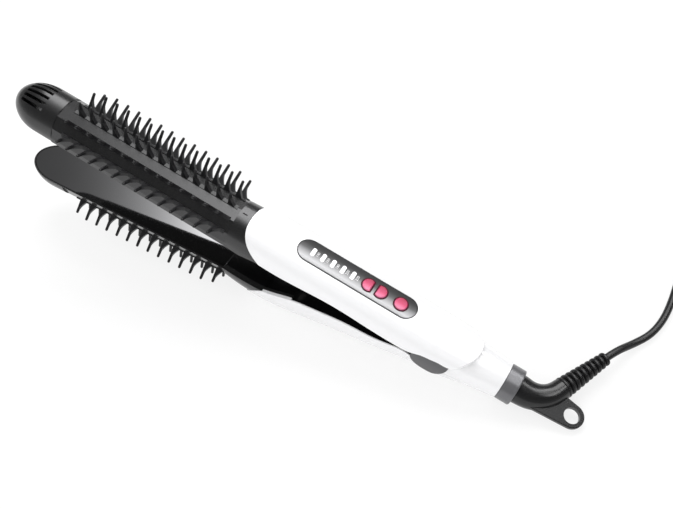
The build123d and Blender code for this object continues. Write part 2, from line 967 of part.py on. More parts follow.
def lower_barrel():
    """The lower brush housing, with its round nose and its grooves for the strips."""
    nose = bullet(lower_nose_tip_x, barrel_front_x, barrel_radius, nose_length, lower_face_z)
    nose -= block(lower_nose_tip_x - 1, 0, -20, 20, lower_face_z, 20)
    body = nose + faceted_bar(
        barrel_front_x, lower_seam_x, barrel_radius, lower_row_angles, lower_face_z, -1, lower_face_z
    )
    inner_radius = barrel_radius - barrel_wall
    floor_z = lower_face_z - lower_plate_thickness
    core = bullet(
        lower_nose_tip_x + barrel_wall, lower_seam_x + 1, inner_radius, nose_length, lower_face_z
    )
    core -= block(lower_nose_tip_x - 1, 0, -20, 20, floor_z, 20)
    body -= core
    body -= lower_plate_blank(lower_plate_fit)
    for angle in lower_row_angles:
        body -= Pos(0, 0, lower_face_z) * Rot(X=180 + angle) * strip_block(barrel_radius, strip_fit)
    return body


def lower_plate_blank(grow):
    """The outline of the lower plate, sunk into the rim of the housing."""
    half = barrel_radius - lower_rim + grow
    tip_x = lower_nose_tip_x + lower_rim - grow
    length = nose_length - lower_rim / 2
    cap = EllipticalCenterArc(
        (tip_x + length, 0), length, half, start_angle=90, arc_size=180
    )
    rest = Polyline(
        (tip_x + length, -half),
        (lower_seam_x + grow, -half),
        (lower_seam_x + grow, half),
        (tip_x + length, half),
    )
    plate = extrude(make_face(cap + rest), amount=lower_plate_thickness + grow)
    return Pos(0, 0, lower_face_z - lower_plate_thickness) * plate


def lower_plate():
    plate = lower_plate_blank(0)
    return chamfer(plate.edges().group_by(Axis.Z)[-1], 0.3)


def lower_heater():
    return heater_bar(lower_face_z - lower_plate_thickness - heater_height)


def lower_shoulder():
    """The dark flare between the lower brush housing and the lower cover."""
    shown = lower_outer(-0.35) - behind_lower_front(-lower_cover_fit)
    spigot = lower_outer(-lower_cover_wall - lower_cover_fit)
    body = shown + spigot
    body -= lower_outer(-lower_cover_wall - lower_cover_fit - lower_shoulder_wall)
    body -= above_lower_rim(0)
    for x in lower_screw_xs:
        body -= upright(x, 0, lower_post_radius + post_gap, -30, 0)
    return body & block(lower_seam_x, lower_shoulder_rear_x, -20, 20, -30, 20)


def lower_cover():
    shell = lower_outer() - lower_outer(-lower_cover_wall)
    for x in lower_screw_xs:
        post_top = lower_screw_seat(x) + post_above_seat
        shell += upright(x, 0, lower_post_radius, -25, post_top) & lower_outer()
    shell = shell & behind_lower_front()
    shell -= above_lower_rim(0)
    rebate = lower_outer(-lower_lip_width) & above_lower_rim(lower_liner_recess + liner_thickness)
    shell -= rebate & block(lower_shoulder_rear_x, tail_end_x + 1, -20, 20, -30, 20)
    for x in lower_screw_xs:
        shell -= upright(x, 0, screw_radius, -30, 0)
        shell -= upright(x, 0, screw_head_radius + screw_head_gap, -30, lower_screw_seat(x))
    return shell & block(-60, tail_end_x, -20, 20, -30, 20)


def lower_screw_seat(x):
    return lower_front_seat_z if x < 0 else lower_rear_seat_z


def lower_liner_z(x):
    return edge_height(lower_rim_points, x) - lower_liner_recess


def lower_liner():
    """The glossy plate that closes the lower handle, with the hinge knuckles."""
    slim = lower_outer(-lower_cover_wall - 2 * lower_cover_fit - lower_shoulder_wall)
    slim &= block(lower_seam_x + seam_gap, lower_shoulder_rear_x + 1, -20, 20, -30, 20)
    body = lower_outer(-lower_lip_width - lower_cover_fit)
    body &= block(lower_shoulder_rear_x + seam_gap, tail_end_x - 4, -20, 20, -30, 20)
    body += slim
    front_drop = side_polygon(
        [(-60, lower_face_z), (-26, lower_face_z), (-26, 20), (-60, 20)], 30
    )
    body -= above_lower_rim(0)
    body -= front_drop
    body -= above_lower_rim(lower_liner_recess) & block(-24, 120, -20, 20, -30, 30)
    body &= above_lower_rim(lower_liner_recess + liner_thickness - lower_cover_fit)
    web_foot = lower_liner_z(hinge_x) - liner_thickness / 2
    for side in (-1, 1):
        y_from = min(side * knuckle_inner_y, side * knuckle_outer_y)
        y_to = max(side * knuckle_inner_y, side * knuckle_outer_y)
        body += across(hinge_x, hinge_z, knuckle_radius, y_from, y_to)
        body += block(hinge_x - knuckle_radius, hinge_x + knuckle_radius, y_from, y_to, web_foot, hinge_z)
    body -= across(hinge_x, hinge_z, pin_radius + pin_fit, -20, 20)
    for x in lower_screw_xs:
        boss_foot = lower_screw_seat(x) + post_above_seat
        body += upright(x, 0, boss_radius, boss_foot, lower_liner_z(x) - 0.5)
        body -= upright(x, 0, screw_radius, -30, lower_liner_z(x) - 1.0)
    return body


def lower_screws():
    screws = []
    for x in lower_screw_xs:
        seat = lower_screw_seat(x)
        head = upright(x, 0, screw_head_radius, seat - screw_head_height, seat)
        shank = upright(x, 0, screw_radius, seat - screw_head_height, lower_liner_z(x) - 1.2)
        drive = block(x - 0.3, x + 0.3, -1.5, 1.5, seat - 2, seat - screw_head_height + 0.5)
        drive += block(x - 1.5, x + 1.5, -0.3, 0.3, seat - 2, seat - screw_head_height + 0.5)
        screws.append(head + shank - drive)
    return screws


# Swivel with its elbow and hang tab

def elbow_frame(angle):
    """Centre and heading of the elbow's centre line after this much of its turn."""
    turn = math.radians(angle)
    centre_y = elbow_bend_radius
    x = elbow_arc_x + elbow_bend_radius * math.sin(turn)
    y = centre_y - elbow_bend_radius * math.cos(turn)
    return (x, y, neck_axis_z), (math.cos(turn), math.sin(turn), 0)


def elbow_end():
    """Where the elbow stops and the strain relief starts, with its heading."""
    (x, y, z), heading = elbow_frame(elbow_turn)
    return (x + heading[0] * elbow_end_straight, y + heading[1] * elbow_end_straight, z), heading


def swivel_elbow():
    start_x = collar_front_x + collar_length + swivel_face_gap
    stations = [((start_x, 0, neck_axis_z), (1, 0, 0), elbow_start_radius)]
    steps = 5
    for step in range(steps + 1):
        centre, heading = elbow_frame(elbow_turn * step / steps)
        share = (step + 1) / (steps + 2)
        radius = elbow_start_radius + (elbow_end_radius - elbow_start_radius) * share
        stations.append((centre, heading, radius))
    end, heading = elbow_end()
    stations.append((end, heading, elbow_end_radius))
    faces = []
    for centre, heading, radius in stations:
        faces.append(Plane(origin=centre, x_dir=(0, 0, 1), z_dir=heading) * Circle(radius))
    body = loft(faces)
    tab = hang_tab()
    body += tab
    flange_rear = swivel_pocket_rear_x - swivel_face_gap
    flange_front = flange_rear - swivel_flange_thickness
    body += along(flange_front, start_x, swivel_stub_radius, neck_axis_z)
    body += along(flange_front, flange_rear, swivel_flange_radius, neck_axis_z)
    return body


def hang_tab():
    bottom = neck_axis_z + tab_raise - tab_thickness / 2
    rounds = (
        Pos(tab_hole_x, tab_hole_y) * Circle(tab_end_radius)
        + Pos(elbow_arc_x + 5.5, -4.6) * Circle(tab_corner_radius)
        + Pos(121.6, 7.4) * Circle(tab_corner_radius)
    )
    blank = make_hull(rounds.edges())
    plate = Pos(0, 0, bottom) * extrude(blank, amount=tab_thickness)
    edges = plate.edges().group_by(Axis.Z)
    plate = fillet(edges[-1] + edges[0], tab_edge_round)
    return plate - upright(tab_hole_x, tab_hole_y, tab_hole_radius, bottom - 5, bottom + 10)


def strain_relief():
    """A ribbed boot that tapers along the cord."""
    end, heading = elbow_end()
    rib = relief_length / relief_ribs
    circles = []
    for index in range(relief_ribs):
        x = index * rib
        share = index / (relief_ribs - 1)
        crest = relief_start_radius + (relief_end_radius - relief_start_radius) * share
        groove = crest - relief_groove_depth
        for offset, radius in (
            (0, groove),
            (rib_front_share, crest),
            (rib_rear_share, crest),
            (rib_foot_share, groove),
        ):
            circles.append(section_plane(x + offset * rib) * Circle(radius))
    circles.append(section_plane(relief_length) * Circle(relief_end_radius - relief_groove_depth))
    boot = loft(circles, ruled=True)
    angle = math.degrees(math.atan2(heading[1], heading[0]))
    return Pos(*end) * Rot(Z=angle) * boot


def relief_tip():
    end, heading = elbow_end()
    return tuple(e + relief_length * h for e, h in zip(end, heading))


# Placing the parts

def open_arm(shape):
    """Swings the lower arm from closed to open about the hinge pin."""
    swing = Pos(hinge_x, 0, hinge_z) * Rot(Y=-opening_angle) * Pos(-hinge_x, 0, -hinge_z)
    return swing * shape


def turn_swivel(shape):
    """Turns the swivel a little about its own axis, as it lies at rest."""
    return Pos(0, 0, neck_axis_z) * Rot(X=swivel_angle) * Pos(0, 0, -neck_axis_z) * shape


def swung(point, angle_deg, centre_x, centre_z):
    """A point (x, z) turned about Y by angle, nose down for a negative angle."""
    turn = math.radians(angle_deg)
    x, z = point[0] - centre_x, point[1] - centre_z
    return (
        centre_x + x * math.cos(turn) + z * math.sin(turn),
        centre_z - x * math.sin(turn) + z * math.cos(turn),
    )


def resting_tooth():
    """Centre of the round tip of the tooth that the tool stands on, in side view."""
    x = first_tooth_x + (tooth_count - 2) * tooth_pitch
    reach = barrel_radius + lower_tooth_reach - tooth_end_radius
    _, up = row_direction(lower_row_angles[1])
    return swung((x, lower_face_z - reach * up), -opening_angle, hinge_x, hinge_z)


def resting_pitch():
    """The pitch that brings a lower tooth tip and the collar's rim to one level."""
    tooth_x, tooth_z = resting_tooth()
    rim_x = collar_front_x + collar_length - collar_round
    rim_z = neck_axis_z - collar_radius + collar_round
    distance = math.hypot(rim_x - tooth_x, rim_z - tooth_z)
    slope = math.atan2(rim_z - tooth_z, rim_x - tooth_x)
    return math.degrees(slope - math.asin((collar_round - tooth_end_radius) / distance))


def pitched(point):
    """A point of the handle frame after the pitch, before the lift."""
    turn = math.radians(resting_pitch())
    x, y, z = point
    return (x * math.cos(turn) + z * math.sin(turn), y, -x * math.sin(turn) + z * math.cos(turn))


tooth_x, tooth_z = resting_tooth()
table_lift = tooth_end_radius - pitched((tooth_x, 0, tooth_z))[2]


def foremost_x():
    """Where the noses of the two pitched arms reach furthest towards -X."""
    upper = (nose_tip_x + nose_length, 0)
    lower = swung((lower_nose_tip_x + nose_length, lower_face_z), -opening_angle, hinge_x, hinge_z)
    ends = []
    for (x, z), slope in ((upper, resting_pitch()), (lower, resting_pitch() - opening_angle)):
        turn = math.radians(slope)
        reach = math.hypot(nose_length * math.cos(turn), barrel_radius * math.sin(turn))
        ends.append(pitched((x, 0, z))[0] - reach)
    return min(ends)


def rearmost_x():
    """Where the pitched and turned hang tab reaches furthest towards +X."""
    edge_x = tab_hole_x + tab_end_radius - tab_edge_round
    edge_z = neck_axis_z + tab_raise + tab_thickness / 2 - tab_edge_round
    return pitched(turned_point((edge_x, tab_hole_y, edge_z)))[0] + tab_edge_round


def lay_down(shape):
    """Pitches the tool and lifts it, so that it stands on the table."""
    return Pos(-centre_shift, 0, table_lift) * Rot(Y=resting_pitch()) * shape


def laid_point(point):
    x, y, z = pitched(point)
    return (x - centre_shift, y, z + table_lift)


def turned_point(point):
    """A point of the swivel after its turn at rest."""
    turn = math.radians(swivel_angle)
    x, y, z = point
    rise = z - neck_axis_z
    return (
        x,
        y * math.cos(turn) - rise * math.sin(turn),
        neck_axis_z + y * math.sin(turn) + rise * math.cos(turn),
    )


# Cord, drawn where it lies on the table

def shifted(points):
    return [(x - centre_shift, y, z) for x, y, z in points]


def corner_radii(points):
    """A tangent radius for each corner, as large as its two runs allow."""
    radii = []
    for before, at, after in zip(points, points[1:], points[2:]):
        run_in = Vector(*at) - Vector(*before)
        run_out = Vector(*after) - Vector(*at)
        half_turn = math.radians(run_in.get_angle(run_out)) / 2
        radii.append(0.45 * min(run_in.length, run_out.length) / math.tan(half_turn))
    return radii


def cord_along(points, name):
    radii = corner_radii(points)
    path = FilletPolyline(*points, radius=radii)
    start = Vector(*points[1]) - Vector(*points[0])
    tube = sweep(Plane(origin=points[0], z_dir=start) * Circle(cord_diameter / 2), path=path)
    expected = path.length * math.pi * cord_diameter ** 2 / 4
    print(name, "length", round(path.length, 1), "radii", [round(r, 1) for r in radii])
    print(name, "volume", round(tube.volume, 1), "section times length", round(expected, 1))
    return tube, path.length


def biarc(start, start_way, end, end_way):
    """Two arcs from start to end that keep both end directions."""
    chord = end - start
    both = start_way + end_way
    spread = 2 * (1 - start_way.dot(end_way))
    along_both = chord.dot(both)
    reach = (-along_both + math.sqrt(along_both ** 2 + spread * chord.dot(chord))) / spread
    middle = (start + end + (start_way - end_way) * reach) * 0.5
    middle_way = (end - end_way * reach - start - start_way * reach).normalized()
    return [
        TangentArc(start, middle, tangent=start_way),
        TangentArc(middle, end, tangent=middle_way),
    ]


def coil_stations():
    """Points and directions each half turn, layer by layer, from the cord to the plug."""
    outer = coil_mid_diameter / 2 + half_turns_per_layer * coil_pitch / 4
    centre_x = coil_start_x - centre_shift + outer
    centre_y = coil_start_y + cord_diameter
    level = tie_wall + tie_gap + cord_diameter / 2
    radius, side = outer, -1
    stations = []

    def add():
        stations.append(
            (Vector(centre_x + side * radius, centre_y, level), Vector(0, -side, 0))
        )

    add()
    for layer in range(coil_layers):
        inward = layer % 2 == 0
        for _ in range(half_turns_per_layer):
            radius += -coil_pitch / 2 if inward else coil_pitch / 2
            side = -side
            add()
        if layer < coil_layers - 1:
            level += coil_pitch
            side = -side
            add()
    return stations


def coil_path():
    stations = coil_stations()
    first, way = stations[0]
    edges = [Line(first - way * cord_diameter, first)]
    for (start, start_way), (end, end_way) in zip(stations, stations[1:]):
        edges += biarc(start, start_way, end, end_way)
    last, way = stations[-1]
    edges.append(Line(last, last + way * cord_diameter))
    return edges


def least_gap(edges):
    """The smallest gap between two turns of the tube, measured on points."""
    points = []
    travelled = 0.0
    for edge in edges:
        count = max(2, int(edge.length / 2))
        for index in range(count):
            points.append((edge.position_at(index / count), travelled + edge.length * index / count))
        travelled += edge.length
    best = 1e9
    for i, (a, at_a) in enumerate(points):
        for b, at_b in points[i + 1:]:
            if at_b - at_a > 6 * cord_diameter:
                best = min(best, (a - b).length)
    return best - cord_diameter


def cord_coil():
    edges = coil_path()
    path = Wire(edges)
    start = edges[0].position_at(0)
    way = edges[0].tangent_at(0)
    tube = sweep(Plane(origin=start, z_dir=way) * Circle(cord_diameter / 2), path=path)
    expected = path.length * math.pi * cord_diameter ** 2 / 4
    print("cord_coil length", round(path.length, 1), "least gap", round(least_gap(edges), 2))
    print("cord_coil volume", round(tube.volume, 1), "section times length", round(expected, 1))
    return tube, path.length, edges[0].position_at(0), edges[-1].position_at(1)


def cord_tie():
    """A strap round all the turns of the coil, on its far side."""
    outer = coil_mid_diameter / 2 + half_turns_per_layer * coil_pitch / 4
    inner = coil_mid_diameter / 2 - half_turns_per_layer * coil_pitch / 4
    centre_x = coil_start_x - centre_shift + outer
    centre_y = coil_start_y + cord_diameter
    room = cord_diameter / 2 + tie_gap
    low_y = centre_y + inner - coil_pitch / 2 - room
    high_y = centre_y + outer + coil_pitch / 2 + room
    height = (coil_layers - 1) * coil_pitch + cord_diameter + 2 * tie_gap
    outside = block(
        centre_x - tie_width / 2,
        centre_x + tie_width / 2,
        low_y - tie_wall,
        high_y + tie_wall,
        0,
        height + 2 * tie_wall,
    )
    outside = fillet(outside.edges().filter_by(Axis.X), 1.6)
    inside = block(
        centre_x - tie_width,
        centre_x + tie_width,
        low_y,
        high_y,
        tie_wall,
        tie_wall + height,
    )
    inside = fillet(inside.edges().filter_by(Axis.X), 0.9)
    return outside - inside


def plug_place():
    """Where the cord enters the plug, on the table beside the coil."""
    return (plug_entry_x - centre_shift, plug_entry_y, plug_thickness / 2)


def plug_body():
    x, y, z = plug_place()
    face_y = y - plug_sleeve_length - plug_length
    outline = Polyline(
        (x - plug_width / 2, face_y),
        (x + plug_width / 2, face_y),
        (x + plug_width / 2, face_y + 9),
        (x + plug_grip_width / 2, face_y + plug_length - 7),
        (x + plug_grip_width / 2, face_y + plug_length),
        (x - plug_grip_width / 2, face_y + plug_length),
        (x - plug_grip_width / 2, face_y + plug_length - 7),
        (x - plug_width / 2, face_y + 9),
        close=True,
    )
    body = extrude(make_face(outline), amount=plug_thickness)
    body = fillet(body.edges().filter_by(Axis.Z), 2.5)
    body = fillet(body.edges().group_by(Axis.Z)[-1] + body.edges().group_by(Axis.Z)[0], 1.6)
    sleeve = Cone(
        plug_sleeve_radius + 1.2,
        plug_sleeve_radius,
        plug_sleeve_length + 0.5,
        align=(Align.CENTER, Align.CENTER, Align.MIN),
    )
    body += Pos(x, face_y + plug_length - 0.5, z) * Rot(X=-90) * sleeve
    for side in (-1, 1):
        pin_x = x + side * plug_pin_spacing / 2
        body -= across(pin_x, z, plug_pin_root_radius, face_y - 1, face_y + plug_pin_root_length)
    return body


def plug_pins():
    """Two round pins, each with a thinner root that is moulded into the plug."""
    x, y, z = plug_place()
    face_y = y - plug_sleeve_length - plug_length
    pins = []
    for side in (-1, 1):
        pin_x = x + side * plug_pin_spacing / 2
        wall_end_y = face_y - plug_pin_relief
        pin = across(pin_x, z, plug_pin_radius, face_y - plug_pin_length, wall_end_y)
        tip = pin.edges().filter_by(GeomType.CIRCLE).sort_by(Axis.Y)[0]
        pin = fillet(tip, plug_pin_round)
        root_end_y = face_y + plug_pin_root_length
        pins.append(pin + across(pin_x, z, plug_pin_root_radius, wall_end_y - 1, root_end_y))
    return pins


centre_shift = (foremost_x() + rearmost_x()) / 2


def write(node, shape):
    """Saves one named part; a list of solids is saved as one group."""
    if isinstance(shape, list):
        shape = Compound(children=[Solid(s.solid().wrapped) for s in shape])
    shape.label = node
    export_step(shape, "parts/" + node + ".step")


def build():
    os.makedirs("parts", exist_ok=True)
    fixed = {
        "nose_cap": nose_cap(),
        "barrel_shell": barrel_shell(),
        "upper_plate": upper_plate(),
        "upper_heater": upper_heater(),
        "plate_springs": plate_springs(),
        "thermal_fuse": thermal_fuse(),
        "upper_shoulder": upper_shoulder(),
        "upper_cover": upper_cover(),
        "control_panel": control_panel(),
        "indicator_windows": indicator_windows(),
        "indicator_lamps": indicator_lamps(),
        "button_surrounds": button_surrounds(),
        "circuit_board": circuit_board(),
        "tact_switches": tact_switches(),
        "upper_liner": upper_liner(),
        "upper_screws": upper_screws(),
        "rear_housing": rear_housing(),
        "collar_ring": collar_ring(),
        "hinge_pin": hinge_pin(),
        "hinge_spring": hinge_spring(),
        "hinge_trim_near": side_trim(-1),
        "hinge_trim_far": side_trim(1),
    }
    for number, angle in enumerate(upper_row_angles, start=1):
        fixed["upper_comb_" + str(number)] = Rot(X=-angle) * comb_strip(upper_tooth_reach)
    for name, (centre_x, flat_side) in buttons.items():
        fixed[name] = button_cap(centre_x, flat_side)

    arm = {
        "lower_barrel": lower_barrel(),
        "lower_plate": lower_plate(),
        "lower_heater": lower_heater(),
        "lower_shoulder": lower_shoulder(),
        "lower_cover": lower_cover(),
        "lower_liner": lower_liner(),
        "lower_screws": lower_screws(),
    }
    for number, angle in enumerate(lower_row_angles, start=1):
        strip = Pos(0, 0, lower_face_z) * Rot(X=180 + angle) * comb_strip(lower_tooth_reach)
        arm["lower_comb_" + str(number)] = strip

    swivel = {"swivel_elbow": swivel_elbow(), "strain_relief": strain_relief()}

    def moved(shape, *steps):
        group = shape if isinstance(shape, list) else [shape]
        for step in steps:
            group = [step(each) for each in group]
        return group if isinstance(shape, list) else group[0]

    for name, shape in fixed.items():
        write(name, moved(shape, lay_down))
    for name, shape in arm.items():
        write(name, moved(shape, open_arm, lay_down))
    for name, shape in swivel.items():
        write(name, moved(shape, turn_swivel, lay_down))

    coil, coil_length, coil_start, coil_end = cord_coil()
    boot_start = Vector(*laid_point(turned_point(elbow_end()[0])))
    boot_end = Vector(*laid_point(turned_point(relief_tip())))
    lead_end = boot_end + (boot_end - boot_start).normalized() * cord_lead
    route = [tuple(boot_end), tuple(lead_end)] + shifted(stretch_route) + [tuple(coil_start)]
    stretch, stretch_length = cord_along(route, "cord_stretch")
    plug_x, plug_y, plug_z = plug_place()
    tail_route = [
        tuple(coil_end),
        (coil_end.X, coil_end.Y - 9.0, coil_end.Z),
        (coil_end.X + 0.4, coil_end.Y - 23.0, coil_end.Z - 5.5),
        (plug_x, plug_y + 8.0, plug_z),
        (plug_x, plug_y, plug_z),
    ]
    tail, tail_length = cord_along(tail_route, "cord_tail")
    write("cord_stretch", stretch)
    write("cord_coil", coil)
    write("cord_tail", tail)
    write("cord_tie", cord_tie())
    write("plug_body", plug_body())
    write("plug_pins", plug_pins())
    print("cord total", round(stretch_length + coil_length + tail_length, 1))
    print("pitch", round(resting_pitch(), 3), "lift", round(table_lift, 3), "shift", round(centre_shift, 3))
    print("cord route", [tuple(round(v, 2) for v in point) for point in route])


build()
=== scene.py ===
# %% [markdown]
# A hair styler with two hinged arms, dressed on its engineering model.
#
# The rigid pieces arrive as a fixed frame in metres: each is already the right size and in the
# right place. Blender's share is the finish of every surface, the soft mains lead with its
# rubber boot, the printed numbers, and the studio round it. Nothing from the frame is moved.

# %% Load the frame
import bmesh
import bpy
import json
import math
from mathutils import Matrix, Vector


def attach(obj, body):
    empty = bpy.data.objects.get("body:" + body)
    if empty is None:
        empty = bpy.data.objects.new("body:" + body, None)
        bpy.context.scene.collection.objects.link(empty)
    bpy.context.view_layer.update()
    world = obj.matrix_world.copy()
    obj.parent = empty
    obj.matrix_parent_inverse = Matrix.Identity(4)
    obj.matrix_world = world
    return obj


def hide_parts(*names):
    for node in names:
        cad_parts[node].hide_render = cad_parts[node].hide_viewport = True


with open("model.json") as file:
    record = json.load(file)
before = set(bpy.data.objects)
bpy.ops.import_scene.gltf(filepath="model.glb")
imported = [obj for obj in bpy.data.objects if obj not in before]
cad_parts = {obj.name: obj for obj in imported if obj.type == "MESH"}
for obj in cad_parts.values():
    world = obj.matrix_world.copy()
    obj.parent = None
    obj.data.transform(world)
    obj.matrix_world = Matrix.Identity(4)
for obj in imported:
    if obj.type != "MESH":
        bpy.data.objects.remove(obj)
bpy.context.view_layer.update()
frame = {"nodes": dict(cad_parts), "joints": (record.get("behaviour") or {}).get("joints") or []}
nodes = frame["nodes"]
joints = {joint["name"]: joint for joint in frame["joints"]}

# %% [markdown]
# The tool doesn't lie level: it stands on its lower teeth and on the collar by its cord, so its
# long axis slopes. Sizes along the tool are easier to think of in the tool's own directions.
# The cord's swivel turns about that long axis, so its joint tells us the slope.

# %% The tool's own directions
millimetre = 0.001
tool_along = Vector(joints["cord_turn"]["axis"]).normalized()
tool_across = Vector((0.0, 1.0, 0.0))
tool_up = tool_along.cross(tool_across)
swivel_place = Vector(joints["cord_turn"]["pos_m"])
swivel_along = 90.0
swivel_raise = 2.0
tool_origin = (
    swivel_place
    - tool_along * swivel_along * millimetre
    - tool_up * swivel_raise * millimetre
)
slope = math.atan2(-tool_along.z, tool_along.x)


def tool_point(along, across, up):
    """A point given in millimetres along, across and above the barrel's axis."""
    offset = tool_along * along + tool_across * across + tool_up * up
    return tool_origin + offset * millimetre


def tool_vector(along, across, up):
    return tool_along * along + tool_across * across + tool_up * up


print("slope in degrees", round(math.degrees(slope), 2))

# %% [markdown]
# The camera. The photographer looked down on the tool from its near side and turned the camera,
# so that the tool runs from the top left to the bottom right. Azimuth and elevation say where
# the camera is, and the roll turns it about its own line of sight. A 50 mm lens at 0.44 m gives
# the photograph's perspective, where the nose is a little smaller than the cord end.

# %% Camera
camera_azimuth = math.radians(14.8)
camera_elevation = math.radians(56.8)
camera_roll = math.radians(18.2)
camera_distance = 0.442
camera_aim = tool_point(0.0, 13.4, 0.0)

level = math.cos(camera_elevation)
back = tool_vector(
    math.sin(camera_azimuth) * level,
    -math.cos(camera_azimuth) * level,
    math.sin(camera_elevation),
)
level_right = tool_vector(math.cos(camera_azimuth), math.sin(camera_azimuth), 0.0)
level_up = back.cross(level_right)
right = level_right * math.cos(camera_roll) + level_up * math.sin(camera_roll)
up = level_up * math.cos(camera_roll) - level_right * math.sin(camera_roll)

camera_data = bpy.data.cameras.new("camera")
camera_data.lens = 50.0
camera_data.sensor_width = 36.0
camera_data.clip_start = 0.01
camera = bpy.data.objects.new("camera", camera_data)
bpy.context.scene.collection.objects.link(camera)
turn = Matrix((right, up, back)).transposed().to_4x4()
camera.matrix_world = Matrix.Translation(camera_aim + back * camera_distance) @ turn
bpy.context.scene.camera = camera
print("camera at", [round(c, 3) for c in camera.matrix_world.translation])

# %% [markdown]
# The mains lead is a fixed length of something flexible. It leaves the rubber boot, drops to
# the table within a few centimetres and runs away from the tool. What the photograph doesn't
# show is put away in a neat coil beyond the picture's edge, with the plug beside it.
#
# One smooth spline makes all of it. Its control points are the route's own points, and the
# coil's turns are worked out by a loop: the turns spiral inwards, climb a layer, spiral out
# again, and so on. A quadratic spline runs a little inside its control points, so the coil's
# points stand slightly further out.

# %% Route of the lead
lead_diameter = 3.6
stretch_points = [
    (149.99, 35.19, 6.14),
    (153.01, 41.5, 6.27),
    (158.59, 52.2, 1.8),
    (164.09, 61.0, 1.8),
    (166.69, 72.5, 1.8),
    (166.69, 86.0, 1.8),
    (165.49, 99.5, 1.8),
    (164.89, 113.5, 2.9),
    (164.89, 127.5, 2.9),
]
coil_middle_diameter = 45.0
coil_step = 4.7
coil_layers = 4
half_turns_per_layer = 5
points_per_half_turn = 8
tie_clearance = 1.1

outer_radius = coil_middle_diameter / 2 + half_turns_per_layer * coil_step / 4
coil_centre_x = stretch_points[-1][0] + outer_radius
coil_centre_y = stretch_points[-1][1] + lead_diameter
turn_outset = 1 / math.cos(math.pi / (2 * points_per_half_turn))


def coil_stations():
    """Radius and height of the lead at each half turn of the coil."""
    radius = outer_radius
    height = tie_clearance + lead_diameter / 2
    stations = [(radius, height)]
    for layer in range(coil_layers):
        step = -coil_step / 2 if layer % 2 == 0 else coil_step / 2
        for _ in range(half_turns_per_layer):
            radius += step
            stations.append((radius, height))
        if layer < coil_layers - 1:
            height += coil_step
            stations.append((radius, height))
    return stations


def coil_points():
    points = []
    stations = coil_stations()
    for index, (here, there) in enumerate(zip(stations, stations[1:])):
        for part in range(points_per_half_turn):
            share = (part + 0.5) / points_per_half_turn
            radius = (here[0] + (there[0] - here[0]) * share) * turn_outset
            height = here[1] + (there[1] - here[1]) * share
            angle = math.pi * (1 - index - share)
            x = coil_centre_x + radius * math.cos(angle)
            y = coil_centre_y + radius * math.sin(angle)
            points.append((x, y, height))
    return points


plug_entry = (222.495, 84.0, 6.85)
last_radius, last_height = coil_stations()[-1]
coil_end_x = coil_centre_x + last_radius
coil_end_y = coil_centre_y - lead_diameter
tail_points = [
    (coil_end_x, coil_end_y, last_height),
    (coil_end_x, coil_end_y - 9.0, last_height),
    (coil_end_x + 0.4, coil_end_y - 23.0, last_height - 5.5),
    (plug_entry[0], plug_entry[1] + 8.0, plug_entry[2]),
    plug_entry,
]
lead_points = stretch_points + coil_points() + tail_points
print("control points of the lead", len(lead_points))

# %% The lead as one curve
lead_curve = bpy.data.curves.new("mains_lead", "CURVE")
lead_curve.dimensions = "3D"
lead_curve.bevel_depth = 1.0
lead_curve.bevel_resolution = 5
lead_curve.resolution_u = 4
lead_curve.use_fill_caps = True
lead_line = lead_curve.splines.new("NURBS")
lead_line.points.add(len(lead_points) - 1)
for place, point in zip(lead_line.points, lead_points):
    place.co = (*(Vector(point) * millimetre), 1.0)
    place.radius = lead_diameter / 2 * millimetre
lead_line.order_u = 3
lead_line.use_endpoint_u = True
lead = bpy.data.objects.new("mains_lead", lead_curve)
bpy.context.scene.collection.objects.link(lead)
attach(lead, "cord_swivel")
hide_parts("cord_stretch", "cord_coil", "cord_tail")
print("lead made, coil centre", round(coil_centre_x, 1), round(coil_centre_y, 1))

# %% [markdown]
# The boot, or strain relief, keeps the lead from kinking where it leaves the swivel. It is
# moulded round the lead with rounded rings on a thin core, so that it bends evenly and gets
# softer towards its end. A profile spun about the lead's axis is the natural way to make it:
# each ring is a low arch, and each groove is a narrow step down to the core.

# %% Rubber boot
boot_length = 26.8
boot_rings = 10
boot_start_radius = 5.1
boot_end_radius = 3.3
groove_depth = 1.2
groove_share = 0.34
ring_arch = ((0.0, 0.45), (0.08, 0.16), (0.22, 0.0), (0.44, 0.0), (0.58, 0.16), (0.66, 0.45))
spin_steps = 48


def boot_profile():
    """Along and radius of the boot's outline, from its centre at one end to the other."""
    outline = [(0.0, 0.0)]
    pitch = boot_length / (boot_rings - groove_share)
    for ring in range(boot_rings):
        share = ring / (boot_rings - 1)
        crest = boot_start_radius + (boot_end_radius - boot_start_radius) * share
        core = crest - groove_depth
        start = ring * pitch
        if ring > 0:
            outline.append((start, core))
        for place, drop in ring_arch:
            outline.append((start + place * pitch, crest - drop))
        if ring < boot_rings - 1:
            outline.append((start + (1 - groove_share) * pitch, core))
    outline.append((boot_length, 0.0))
    return outline


